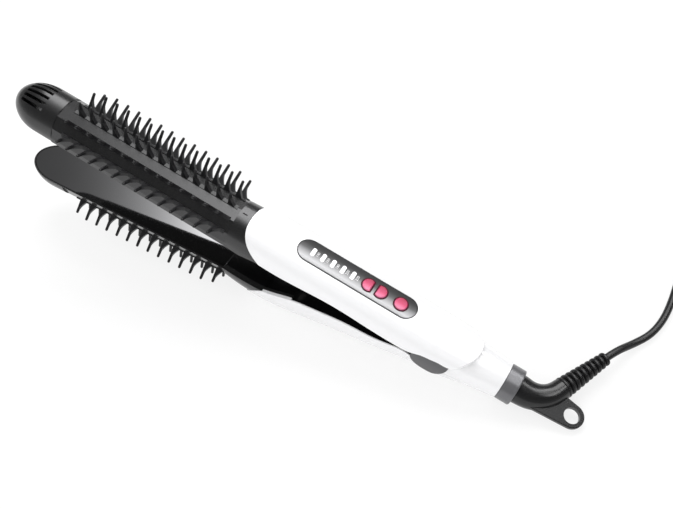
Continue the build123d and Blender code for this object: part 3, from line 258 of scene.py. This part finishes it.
def make_boot(name):
    shape = bmesh.new()
    outline = [shape.verts.new((along, 0.0, radius)) for along, radius in boot_profile()]
    edges = [shape.edges.new(pair) for pair in zip(outline, outline[1:])]
    bmesh.ops.spin(
        shape,
        geom=outline + edges,
        cent=(0, 0, 0),
        axis=(1, 0, 0),
        angle=math.tau,
        steps=spin_steps,
        use_merge=True,
    )
    bmesh.ops.remove_doubles(shape, verts=shape.verts, dist=0.0001)
    bmesh.ops.recalc_face_normals(shape, faces=shape.faces)
    way = (Vector(stretch_points[1]) - Vector(stretch_points[0])).normalized()
    start = Vector(stretch_points[0]) - way * boot_length
    turn = way.to_track_quat("X", "Z").to_matrix().to_4x4()
    place = Matrix.Scale(millimetre, 4) @ Matrix.Translation(start) @ turn
    bmesh.ops.transform(shape, matrix=place, verts=shape.verts)
    for face in shape.faces:
        face.smooth = True
    mesh = bpy.data.meshes.new(name)
    shape.to_mesh(mesh)
    shape.free()
    piece = bpy.data.objects.new(name, mesh)
    bpy.context.scene.collection.objects.link(piece)
    return piece


boot = make_boot("lead_boot")
round_edges = boot.modifiers.new("soft edges", "BEVEL")
round_edges.width = 0.12 * millimetre
round_edges.segments = 2
round_edges.limit_method = "ANGLE"
round_edges.angle_limit = math.radians(40)
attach(boot, "cord_swivel")
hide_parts("strain_relief")
print("boot faces", len(boot.data.polygons))

# %% [markdown]
# Moulded plastic is never quite even: its gloss changes softly from place to place and a fine
# grain breaks the highlight. Most finishes here need that, so it is one node group with named
# inputs. It gives a tone, a roughness and a height, and each material mixes them in its own
# amounts.

# %% A shared group for moulded surfaces
def group_socket(group, name, way, kind="NodeSocketFloat", value=None):
    socket = group.interface.new_socket(name=name, in_out=way, socket_type=kind)
    if value is not None:
        socket.default_value = value


def make_moulded_group():
    group = bpy.data.node_groups.new("moulded_surface", "ShaderNodeTree")
    group_socket(group, "Colour", "INPUT", "NodeSocketColor", (0.5, 0.5, 0.5, 1.0))
    group_socket(group, "Tone Change", "INPUT", value=0.06)
    group_socket(group, "Patch Scale", "INPUT", value=40.0)
    group_socket(group, "Grain Scale", "INPUT", value=3000.0)
    group_socket(group, "Roughness", "INPUT", value=0.3)
    group_socket(group, "Roughness Change", "INPUT", value=0.08)
    group_socket(group, "Colour", "OUTPUT", "NodeSocketColor")
    group_socket(group, "Roughness", "OUTPUT")
    group_socket(group, "Height", "OUTPUT")
    tree, link = group.nodes, group.links.new
    inputs = tree.new("NodeGroupInput")
    outputs = tree.new("NodeGroupOutput")
    place = tree.new("ShaderNodeTexCoord")
    patches = tree.new("ShaderNodeTexNoise")
    patches.inputs["Detail"].default_value = 3.0
    link(place.outputs["Object"], patches.inputs["Vector"])
    link(inputs.outputs["Patch Scale"], patches.inputs["Scale"])
    grain = tree.new("ShaderNodeTexNoise")
    grain.inputs["Detail"].default_value = 2.0
    link(place.outputs["Object"], grain.inputs["Vector"])
    link(inputs.outputs["Grain Scale"], grain.inputs["Scale"])
    centred = tree.new("ShaderNodeMath")
    centred.operation = "SUBTRACT"
    centred.inputs[1].default_value = 0.5
    link(patches.outputs["Fac"], centred.inputs[0])
    tone = tree.new("ShaderNodeMath")
    tone.operation = "MULTIPLY_ADD"
    tone.inputs[2].default_value = 1.0
    link(centred.outputs[0], tone.inputs[0])
    link(inputs.outputs["Tone Change"], tone.inputs[1])
    tinted = tree.new("ShaderNodeVectorMath")
    tinted.operation = "SCALE"
    link(inputs.outputs["Colour"], tinted.inputs[0])
    link(tone.outputs[0], tinted.inputs["Scale"])
    link(tinted.outputs[0], outputs.inputs["Colour"])
    gloss = tree.new("ShaderNodeMath")
    gloss.operation = "MULTIPLY_ADD"
    link(centred.outputs[0], gloss.inputs[0])
    link(inputs.outputs["Roughness Change"], gloss.inputs[1])
    link(inputs.outputs["Roughness"], gloss.inputs[2])
    link(gloss.outputs[0], outputs.inputs["Roughness"])
    link(grain.outputs["Fac"], outputs.inputs["Height"])
    return group


moulded_surface = make_moulded_group()
print("group inputs", [item.name for item in moulded_surface.interface.items_tree])

# %% A helper that starts a material
def start_material(name, colour, roughness, tone=0.06, change=0.08, patch=40.0, grain=3000.0):
    """A Principled material fed by the moulded surface, with a fine bump."""
    material = bpy.data.materials.new(name)
    material.use_nodes = True
    tree, link = material.node_tree.nodes, material.node_tree.links.new
    shader = tree["Principled BSDF"]
    surface = tree.new("ShaderNodeGroup")
    surface.node_tree = moulded_surface
    surface.name = "surface"
    surface.inputs["Colour"].default_value = (*colour, 1.0)
    surface.inputs["Tone Change"].default_value = tone
    surface.inputs["Patch Scale"].default_value = patch
    surface.inputs["Grain Scale"].default_value = grain
    surface.inputs["Roughness"].default_value = roughness
    surface.inputs["Roughness Change"].default_value = change
    link(surface.outputs["Colour"], shader.inputs["Base Color"])
    link(surface.outputs["Roughness"], shader.inputs["Roughness"])
    bump = tree.new("ShaderNodeBump")
    bump.name = "bump"
    bump.inputs["Strength"].default_value = 0.05
    bump.inputs["Distance"].default_value = 0.02 * millimetre
    link(surface.outputs["Height"], bump.inputs["Height"])
    link(bump.outputs["Normal"], shader.inputs["Normal"])
    return material, shader, surface, bump


def dress(material, *names):
    """Gives a material to pieces of the frame."""
    for name in names:
        node = nodes[name]
        node.data.materials.clear()
        node.data.materials.append(material)


# %% [markdown]
# The barrel, the nose and the shoulders carry a charcoal metallic paint: nearly black where
# they face something dark, and silvery where they face a light. A high metallic share with a
# dark colour does that, because its mirror part outweighs its plain colour. The teeth are plain
# black plastic from a textured mould, which makes them satin.

# %% Charcoal barrel and black teeth
charcoal, shader, surface, bump = start_material(
    "charcoal_paint", (0.062, 0.062, 0.063), 0.25, tone=0.2, change=0.08
)
shader.inputs["Metallic"].default_value = 0.8
dress(charcoal, "nose_cap", "barrel_shell", "upper_shoulder", "lower_barrel", "lower_shoulder")

tooth_black, shader, surface, bump = start_material(
    "tooth_plastic", (0.010, 0.010, 0.011), 0.42, tone=0.3, change=0.1, grain=5000.0
)
bump.inputs["Strength"].default_value = 0.15
comb_nodes = [name for name in nodes if "_comb_" in name]
dress(tooth_black, *comb_nodes)
print("comb strips", len(comb_nodes))

# %% [markdown]
# The upper heated plate is metal with a fired ceramic coat, almost black and smooth. The lower
# plate is polished dark metal, so most of what shows on it is a mirror image: the dark arm
# above it, and the studio beyond.

# %% Ceramic plates
ceramic, shader, surface, bump = start_material(
    "ceramic_plate", (0.003, 0.003, 0.0033), 0.2, tone=0.2, change=0.06
)
shader.inputs["Specular IOR Level"].default_value = 0.3
dress(ceramic, "upper_plate")

mirror_metal, shader, surface, bump = start_material(
    "mirror_metal", (0.155, 0.155, 0.158), 0.05, tone=0.06, change=0.02, patch=60.0
)
bump.inputs["Strength"].default_value = 0.02
shader.inputs["Metallic"].default_value = 1.0
dress(mirror_metal, "lower_plate")
print("plates dressed")

# %% [markdown]
# The handle covers and the rear housing are white plastic with a polished surface. Real white
# plastic isn't pure white: it is a shade under, or its rounded sides would vanish against a
# white background. The liners between the covers are piano black.

# %% White covers and black liners
cover_white, shader, surface, bump = start_material(
    "cover_white", (0.80, 0.80, 0.81), 0.22, tone=0.03, change=0.08, patch=25.0
)
shader.inputs["Coat Weight"].default_value = 0.5
shader.inputs["Coat Roughness"].default_value = 0.06
dress(cover_white, "upper_cover", "lower_cover", "rear_housing")

liner_black, shader, surface, bump = start_material(
    "liner_black", (0.003, 0.003, 0.0033), 0.14, tone=0.2, change=0.05
)
shader.inputs["Specular IOR Level"].default_value = 0.4
dress(liner_black, "upper_liner", "lower_liner")

# %% [markdown]
# Brushed metal has thousands of fine parallel scratches. A noise texture that is stretched a
# hundredfold along one direction looks like them. The control panel is brushed along the tool;
# its colour carries a painted reflection, dark at its far edge and silver at its near edge.
# The collar is turned on a lathe, so its scratches run round it.

# %% A shared group for brushed metal
def make_brushed_group():
    group = bpy.data.node_groups.new("brushed_metal", "ShaderNodeTree")
    group_socket(group, "Slope", "INPUT", "NodeSocketVector")
    group_socket(group, "Stretch", "INPUT", "NodeSocketVector")
    group_socket(group, "Colour", "INPUT", "NodeSocketColor", (0.5, 0.5, 0.5, 1.0))
    group_socket(group, "Contrast", "INPUT", value=0.3)
    group_socket(group, "Colour", "OUTPUT", "NodeSocketColor")
    group_socket(group, "Height", "OUTPUT")
    tree, link = group.nodes, group.links.new
    inputs = tree.new("NodeGroupInput")
    outputs = tree.new("NodeGroupOutput")
    place = tree.new("ShaderNodeTexCoord")
    turned = tree.new("ShaderNodeMapping")
    link(place.outputs["Object"], turned.inputs["Vector"])
    link(inputs.outputs["Slope"], turned.inputs["Rotation"])
    stretched = tree.new("ShaderNodeVectorMath")
    stretched.operation = "MULTIPLY"
    link(turned.outputs["Vector"], stretched.inputs[0])
    link(inputs.outputs["Stretch"], stretched.inputs[1])
    scratches = tree.new("ShaderNodeTexNoise")
    scratches.inputs["Scale"].default_value = 1.0
    scratches.inputs["Detail"].default_value = 4.0
    link(stretched.outputs[0], scratches.inputs["Vector"])
    centred = tree.new("ShaderNodeMath")
    centred.operation = "SUBTRACT"
    centred.inputs[1].default_value = 0.5
    link(scratches.outputs["Fac"], centred.inputs[0])
    tone = tree.new("ShaderNodeMath")
    tone.operation = "MULTIPLY_ADD"
    tone.inputs[2].default_value = 1.0
    link(centred.outputs[0], tone.inputs[0])
    link(inputs.outputs["Contrast"], tone.inputs[1])
    tinted = tree.new("ShaderNodeVectorMath")
    tinted.operation = "SCALE"
    link(inputs.outputs["Colour"], tinted.inputs[0])
    link(tone.outputs[0], tinted.inputs["Scale"])
    link(tinted.outputs[0], outputs.inputs["Colour"])
    link(scratches.outputs["Fac"], outputs.inputs["Height"])
    return group


brushed_metal = make_brushed_group()


def brush(material, stretch, colour, contrast):
    """Adds brushed metal to a material and returns its node."""
    brushed = material.node_tree.nodes.new("ShaderNodeGroup")
    brushed.node_tree = brushed_metal
    brushed.inputs["Slope"].default_value = (0.0, -slope, 0.0)
    brushed.inputs["Stretch"].default_value = stretch
    brushed.inputs["Colour"].default_value = (*colour, 1.0)
    brushed.inputs["Contrast"].default_value = contrast
    return brushed


print("brushed group ready")

# %% Control panel
panel_half_width = 5.8 * millimetre
panel_silver, shader, surface, bump = start_material("panel_silver", (0.5, 0.5, 0.5), 0.34)
tree, link = panel_silver.node_tree.nodes, panel_silver.node_tree.links.new
place = tree.new("ShaderNodeTexCoord")
axes = tree.new("ShaderNodeSeparateXYZ")
link(place.outputs["Object"], axes.inputs["Vector"])
across = tree.new("ShaderNodeMapRange")
across.inputs["From Min"].default_value = -panel_half_width
across.inputs["From Max"].default_value = panel_half_width
link(axes.outputs["Y"], across.inputs["Value"])
# Painted reflection: the panel's colour runs from silver at its near edge to almost black at its
# far edge.
shade = tree.new("ShaderNodeValToRGB")
shade.color_ramp.elements[0].position = 0.0
shade.color_ramp.elements[0].color = (0.20, 0.20, 0.205, 1.0)
shade.color_ramp.elements[1].position = 1.0
shade.color_ramp.elements[1].color = (0.006, 0.006, 0.0065, 1.0)
for position, grey in ((0.15, 0.26), (0.35, 0.16), (0.55, 0.05), (0.75, 0.016)):
    stop = shade.color_ramp.elements.new(position)
    stop.color = (grey, grey, grey * 1.02, 1.0)
link(across.outputs["Result"], shade.inputs["Fac"])
brushed = brush(panel_silver, (60.0, 6000.0, 6000.0), (0.5, 0.5, 0.5), 0.16)
link(shade.outputs["Color"], brushed.inputs["Colour"])
link(brushed.outputs["Colour"], shader.inputs["Base Color"])
link(brushed.outputs["Height"], bump.inputs["Height"])
shader.inputs["Metallic"].default_value = 0.6
shader.inputs["Specular IOR Level"].default_value = 0.25
dress(panel_silver, "control_panel")

# %% Collar and grey hinge trims
collar_metal, shader, surface, bump = start_material("collar_metal", (0.1, 0.1, 0.1), 0.32)
tree, link = collar_metal.node_tree.nodes, collar_metal.node_tree.links.new
brushed = brush(collar_metal, (5000.0, 120.0, 120.0), (0.15, 0.15, 0.157), 0.35)
link(brushed.outputs["Colour"], shader.inputs["Base Color"])
link(brushed.outputs["Height"], bump.inputs["Height"])
bump.inputs["Strength"].default_value = 0.12
shader.inputs["Metallic"].default_value = 0.45
dress(collar_metal, "collar_ring")

trim_grey, shader, surface, bump = start_material(
    "trim_grey", (0.078, 0.078, 0.082), 0.38, tone=0.12, change=0.1
)
bump.inputs["Strength"].default_value = 0.12
dress(trim_grey, "hinge_trim_near", "hinge_trim_far")
print("panel, collar and trims dressed")

# %% [markdown]
# The buttons are see-through pink plastic: lit from above, their near side glows paler than
# their far side. A ramp across each button gives that. The wells round them are a dark wine
# red, and the lamp windows are milky white with a little light of their own.

# %% Buttons, wells and lamp windows
button_radius = 3.05 * millimetre
button_pink, shader, surface, bump = start_material("button_pink", (0.8, 0.1, 0.25), 0.25)
tree, link = button_pink.node_tree.nodes, button_pink.node_tree.links.new
place = tree.new("ShaderNodeTexCoord")
axes = tree.new("ShaderNodeSeparateXYZ")
link(place.outputs["Object"], axes.inputs["Vector"])
across = tree.new("ShaderNodeMapRange")
across.inputs["From Min"].default_value = -button_radius
across.inputs["From Max"].default_value = button_radius
link(axes.outputs["Y"], across.inputs["Value"])
shade = tree.new("ShaderNodeValToRGB")
shade.color_ramp.elements[0].position = 0.05
shade.color_ramp.elements[0].color = (0.78, 0.24, 0.38, 1.0)
shade.color_ramp.elements[1].position = 0.95
shade.color_ramp.elements[1].color = (0.34, 0.02, 0.06, 1.0)
middle = shade.color_ramp.elements.new(0.5)
middle.color = (0.56, 0.07, 0.16, 1.0)
link(across.outputs["Result"], shade.inputs["Fac"])
link(shade.outputs["Color"], surface.inputs["Colour"])
shader.inputs["Specular IOR Level"].default_value = 0.2
shader.inputs["Subsurface Weight"].default_value = 0.15
shader.inputs["Subsurface Scale"].default_value = 0.5 * millimetre
dress(button_pink, "minus_button", "plus_button", "power_button")

well_red, shader, surface, bump = start_material("well_red", (0.045, 0.002, 0.009), 0.35)
shader.inputs["Specular IOR Level"].default_value = 0.1
dress(well_red, "button_surrounds")

lamp_white, shader, surface, bump = start_material(
    "lamp_white", (0.86, 0.87, 0.88), 0.3, tone=0.04
)
shader.inputs["Emission Color"].default_value = (1.0, 1.0, 1.0, 1.0)
shader.inputs["Emission Strength"].default_value = 0.25
dress(lamp_white, "indicator_windows", "indicator_lamps")
print("buttons dressed")

# %% [markdown]
# The swivel, the boot, the lead and the plug are black, but not alike: the swivel is satin
# plastic, the boot and the lead are soft PVC with a duller sheen. The lead's grain is very
# fine, because extruded PVC has no mould texture.

# %% Black plastic, rubber and cord
swivel_black, shader, surface, bump = start_material(
    "swivel_black", (0.011, 0.011, 0.0115), 0.22, tone=0.25, change=0.08
)
shader.inputs["Specular IOR Level"].default_value = 0.42
dress(swivel_black, "swivel_elbow", "plug_body", "cord_tie")

cord_black, shader, surface, bump = start_material(
    "cord_black", (0.007, 0.007, 0.0075), 0.38, tone=0.25, change=0.12, patch=90.0, grain=2500.0
)
shader.inputs["Specular IOR Level"].default_value = 0.35
bump.inputs["Strength"].default_value = 0.1
lead.data.materials.append(cord_black)
boot.data.materials.append(cord_black)
print("black pieces dressed")

# %% [markdown]
# Bare metal and the pieces inside. They hardly show, but a cut-away or another viewer may look
# there, so each has its own finish: drawn steel for the pin, screws and springs, fired ceramic
# for the heaters and the fuse, and a green board under its solder mask.

# %% Steel and inner pieces
pin_steel, shader, surface, bump = start_material(
    "pin_steel", (0.55, 0.54, 0.52), 0.28, tone=0.1, change=0.15, patch=200.0
)
shader.inputs["Metallic"].default_value = 1.0
dress(pin_steel, "hinge_pin", "upper_screws", "lower_screws", "plug_pins", "tact_switches")

spring_steel, shader, surface, bump = start_material(
    "spring_steel", (0.34, 0.33, 0.32), 0.35, tone=0.2, change=0.15, patch=200.0
)
shader.inputs["Metallic"].default_value = 1.0
dress(spring_steel, "hinge_spring", "plate_springs")

heater_ceramic, shader, surface, bump = start_material(
    "heater_ceramic", (0.62, 0.58, 0.52), 0.7, tone=0.15, patch=120.0, grain=1500.0
)
bump.inputs["Strength"].default_value = 0.3
dress(heater_ceramic, "upper_heater", "lower_heater", "thermal_fuse")

board_green, shader, surface, bump = start_material(
    "board_green", (0.02, 0.12, 0.05), 0.35, tone=0.3, patch=400.0
)
dress(board_green, "circuit_board")
bare = [name for name in nodes if not nodes[name].data.materials]
print("nodes with no finish", bare)

# %% [markdown]
# Small pale numbers stand beside the lamp windows and give the heat of each step. They are
# printed, so they are almost flat: text that is turned into a thin mesh and laid on the panel.
# They run across the tool, as the windows do.

# %% Printed numbers on the panel
step_numbers = ("140", "160", "180", "200", "220")
first_window_along = -7.0
window_pitch = 5.25
number_gap = 2.45
number_height = 1.25
letter_size_per_height = 1.45
print_thickness = 0.02
print_lift = 0.01
panel_top = 12.9

number_ink, shader, surface, bump = start_material("number_ink", (0.78, 0.78, 0.79), 0.5)


def print_number(text, along):
    """A number laid on the panel, reading across the tool."""
    words = bpy.data.curves.new("number_" + text, "FONT")
    words.body = text
    words.size = number_height * letter_size_per_height
    words.align_x = "CENTER"
    words.align_y = "CENTER"
    words.extrude = print_thickness / 2
    draft = bpy.data.objects.new("draft", words)
    bpy.context.scene.collection.objects.link(draft)
    bpy.context.view_layer.update()
    mesh = bpy.data.meshes.new_from_object(draft)
    bpy.data.objects.remove(draft)
    reading = tool_across
    rise = -tool_along
    turn = Matrix((reading, rise, tool_up)).transposed().to_4x4()
    spot = tool_point(along, 0.0, panel_top + print_thickness / 2 + print_lift)
    mesh.transform(Matrix.Translation(spot) @ turn @ Matrix.Scale(millimetre, 4))
    mesh.materials.clear()
    mesh.materials.append(number_ink)
    piece = bpy.data.objects.new("printed_number_" + text, mesh)
    bpy.context.scene.collection.objects.link(piece)
    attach(piece, "handle")
    return piece


for index, text in enumerate(step_numbers):
    print_number(text, first_window_along + index * window_pitch + number_gap)
print("numbers printed", step_numbers)

# %% [markdown]
# The studio. The floor is white paper. Where the camera sees the floor it is brightened towards
# white, which needs no extra light on the tool, and the tool's soft shadow still darkens the
# rest of it. Glossy and clear surfaces see the same white floor.

# %% Floor
floor_half = 3.0
floor_drop = 0.0002
floor_glow = 0.8
floor_shape = bmesh.new()
bmesh.ops.create_grid(floor_shape, x_segments=1, y_segments=1, size=floor_half)
bmesh.ops.translate(floor_shape, verts=floor_shape.verts, vec=(0, 0, -floor_drop))
floor_mesh = bpy.data.meshes.new("floor")
floor_shape.to_mesh(floor_mesh)
floor_shape.free()
floor = bpy.data.objects.new("floor", floor_mesh)
bpy.context.scene.collection.objects.link(floor)

paper = bpy.data.materials.new("white_paper")
paper.use_nodes = True
tree, link = paper.node_tree.nodes, paper.node_tree.links.new
shader = tree["Principled BSDF"]
shader.inputs["Base Color"].default_value = (0.86, 0.86, 0.86, 1.0)
shader.inputs["Roughness"].default_value = 0.9
glow = tree.new("ShaderNodeEmission")
glow.inputs["Color"].default_value = (1.0, 1.0, 1.0, 1.0)
glow.inputs["Strength"].default_value = 1.0
rays = tree.new("ShaderNodeLightPath")
reflected = tree.new("ShaderNodeMath")
reflected.operation = "MAXIMUM"
link(rays.outputs["Is Glossy Ray"], reflected.inputs[0])
link(rays.outputs["Is Transmission Ray"], reflected.inputs[1])
seen = tree.new("ShaderNodeMath")
seen.operation = "MAXIMUM"
link(rays.outputs["Is Camera Ray"], seen.inputs[0])
link(reflected.outputs[0], seen.inputs[1])
amount = tree.new("ShaderNodeMath")
amount.operation = "MULTIPLY"
amount.inputs[1].default_value = floor_glow
link(seen.outputs[0], amount.inputs[0])
blend = tree.new("ShaderNodeMixShader")
link(amount.outputs[0], blend.inputs["Fac"])
link(shader.outputs[0], blend.inputs[1])
link(glow.outputs[0], blend.inputs[2])
link(blend.outputs[0], tree["Material Output"].inputs["Surface"])
floor_mesh.materials.append(paper)

# %% Lights
def softbox(name, place, aim, width, height, watts):
    """A rectangular studio light at a place, pointed at an aim."""
    data = bpy.data.lights.new(name, "AREA")
    data.shape = "RECTANGLE"
    data.size = width
    data.size_y = height
    data.energy = watts
    light = bpy.data.objects.new(name, data)
    bpy.context.scene.collection.objects.link(light)
    away = Vector(place) - Vector(aim)
    turn = away.to_track_quat("Z", "Y").to_matrix().to_4x4()
    light.matrix_world = Matrix.Translation(place) @ turn
    return light


middle = (0.0, 0.0, 0.03)
lamps = [
    softbox("key_light", (-0.25, 0.55, 0.9), middle, 0.9, 0.45, 9.0),
    softbox("near_fill", (0.3, -0.9, 0.7), middle, 0.8, 0.5, 5.0),
    softbox("nose_light", (-0.9, -0.1, 0.5), middle, 0.5, 0.5, 3.0),
]
for lamp in lamps:
    lamp.visible_glossy = False
print("lamps", [lamp.name for lamp in lamps])

# %% [markdown]
# What a glossy surface shows is its surroundings, and a product photographer builds those with
# care: one large sheet of light that hangs over the far side of the table, and dark cloth
# round the rest. The sheet gives the barrel its one long streak and lets the mirror plate run
# from dark to white. Here the world holds that sheet. Its direction is divided by its height,
# which lays the sky out flat like a ceiling, and the sheet is a slanted rectangle on it with
# one slowly fading edge and a faint margin beyond. A narrow strip beside it puts a second, thin
# streak on round pieces.

# %% World
# Places on the ceiling are distances in units of its height. A fade is a start and an end.
ceiling_turn = math.radians(-33.2)
lowest_height = 0.02
sheet_light = 5.0
sheet_fade = (-0.33, -0.02)
sheet_fade_power = 4.5
faint_fade = (-0.55, -0.3)
faint_share = 0.045
sheet_slant = 0.5
right_fade = (0.47, 0.32)
sheet_middle = 0.42
end_fade = (0.95, 0.75)
strip_middle = 0.86
strip_fade = (0.14, 0.08)
strip_share = 1.6
cloth_light = 0.09
horizon_light = 0.35
horizon_top = 0.5

world = bpy.data.worlds.new("studio")
world.use_nodes = True
tree, link = world.node_tree.nodes, world.node_tree.links.new
background = tree["Background"]
background.inputs["Color"].default_value = (1.0, 1.0, 1.0, 1.0)


def world_math(operation, first, second):
    """A Math node on the world; each input is a number or an output socket."""
    node = tree.new("ShaderNodeMath")
    node.operation = operation
    for socket, value in zip(node.inputs, (first, second)):
        if isinstance(value, (int, float)):
            socket.default_value = value
        else:
            link(value, socket)
    return node.outputs[0]


def world_ramp(value, start, end, low=0.0, high=1.0):
    """Runs from low to high while the value runs from start to end."""
    node = tree.new("ShaderNodeMapRange")
    node.inputs["From Min"].default_value = start
    node.inputs["From Max"].default_value = end
    node.inputs["To Min"].default_value = low
    node.inputs["To Max"].default_value = high
    link(value, node.inputs["Value"])
    return node.outputs["Result"]


way = tree.new("ShaderNodeTexCoord")
sky = tree.new("ShaderNodeSeparateXYZ")
link(way.outputs["Generated"], sky.inputs["Vector"])
height = world_math("MAXIMUM", sky.outputs["Z"], lowest_height)
ceiling = tree.new("ShaderNodeCombineXYZ")
link(world_math("DIVIDE", sky.outputs["X"], height), ceiling.inputs["X"])
link(world_math("DIVIDE", sky.outputs["Y"], height), ceiling.inputs["Y"])
turned = tree.new("ShaderNodeMapping")
turned.inputs["Rotation"].default_value = (0.0, 0.0, ceiling_turn)
link(ceiling.outputs["Vector"], turned.inputs["Vector"])
sheet_axes = tree.new("ShaderNodeSeparateXYZ")
link(turned.outputs["Vector"], sheet_axes.inputs["Vector"])

sheet_x = sheet_axes.outputs["X"]
sheet_y = sheet_axes.outputs["Y"]
fading_edge = world_math("POWER", world_ramp(sheet_x, *sheet_fade), sheet_fade_power)
faint_edge = world_ramp(sheet_x, *faint_fade, 0.0, faint_share)
left_edge = world_math("ADD", fading_edge, faint_edge)
slanted_x = world_math("SUBTRACT", sheet_x, world_math("MULTIPLY", sheet_y, sheet_slant))
right_edge = world_ramp(slanted_x, *right_fade)
from_middle = world_math("ABSOLUTE", world_math("SUBTRACT", sheet_y, sheet_middle), 0.0)
end_edges = world_ramp(from_middle, *end_fade)
sheet = world_math("MULTIPLY", left_edge, world_math("MULTIPLY", right_edge, end_edges))
from_strip = world_math("ABSOLUTE", world_math("SUBTRACT", sheet_x, strip_middle), 0.0)
strip_edges = world_ramp(from_strip, *strip_fade, 0.0, strip_share)
strip = world_math("MULTIPLY", strip_edges, end_edges)
bright = world_math("MAXIMUM", sheet, strip)
cloth = world_ramp(sky.outputs["Z"], 0.0, horizon_top, horizon_light, cloth_light)
around = world_math("ADD", world_math("MULTIPLY", bright, sheet_light), cloth)
print("world nodes", len(tree))

# %% Which rays see what
plain_light = 0.62
rays = tree.new("ShaderNodeLightPath")
glossy, clear = rays.outputs["Is Glossy Ray"], rays.outputs["Is Transmission Ray"]
reflected = world_math("MAXIMUM", glossy, clear)
for_reflections = tree.new("ShaderNodeMix")
for_reflections.inputs["A"].default_value = plain_light
link(reflected, for_reflections.inputs["Factor"])
link(around, for_reflections.inputs["B"])
for_camera = tree.new("ShaderNodeMix")
for_camera.inputs["B"].default_value = 1.0
link(rays.outputs["Is Camera Ray"], for_camera.inputs["Factor"])
link(for_reflections.outputs["Result"], for_camera.inputs["A"])
link(for_camera.outputs["Result"], background.inputs["Strength"])
bpy.context.scene.world = world
bpy.context.scene.view_settings.view_transform = "Standard"
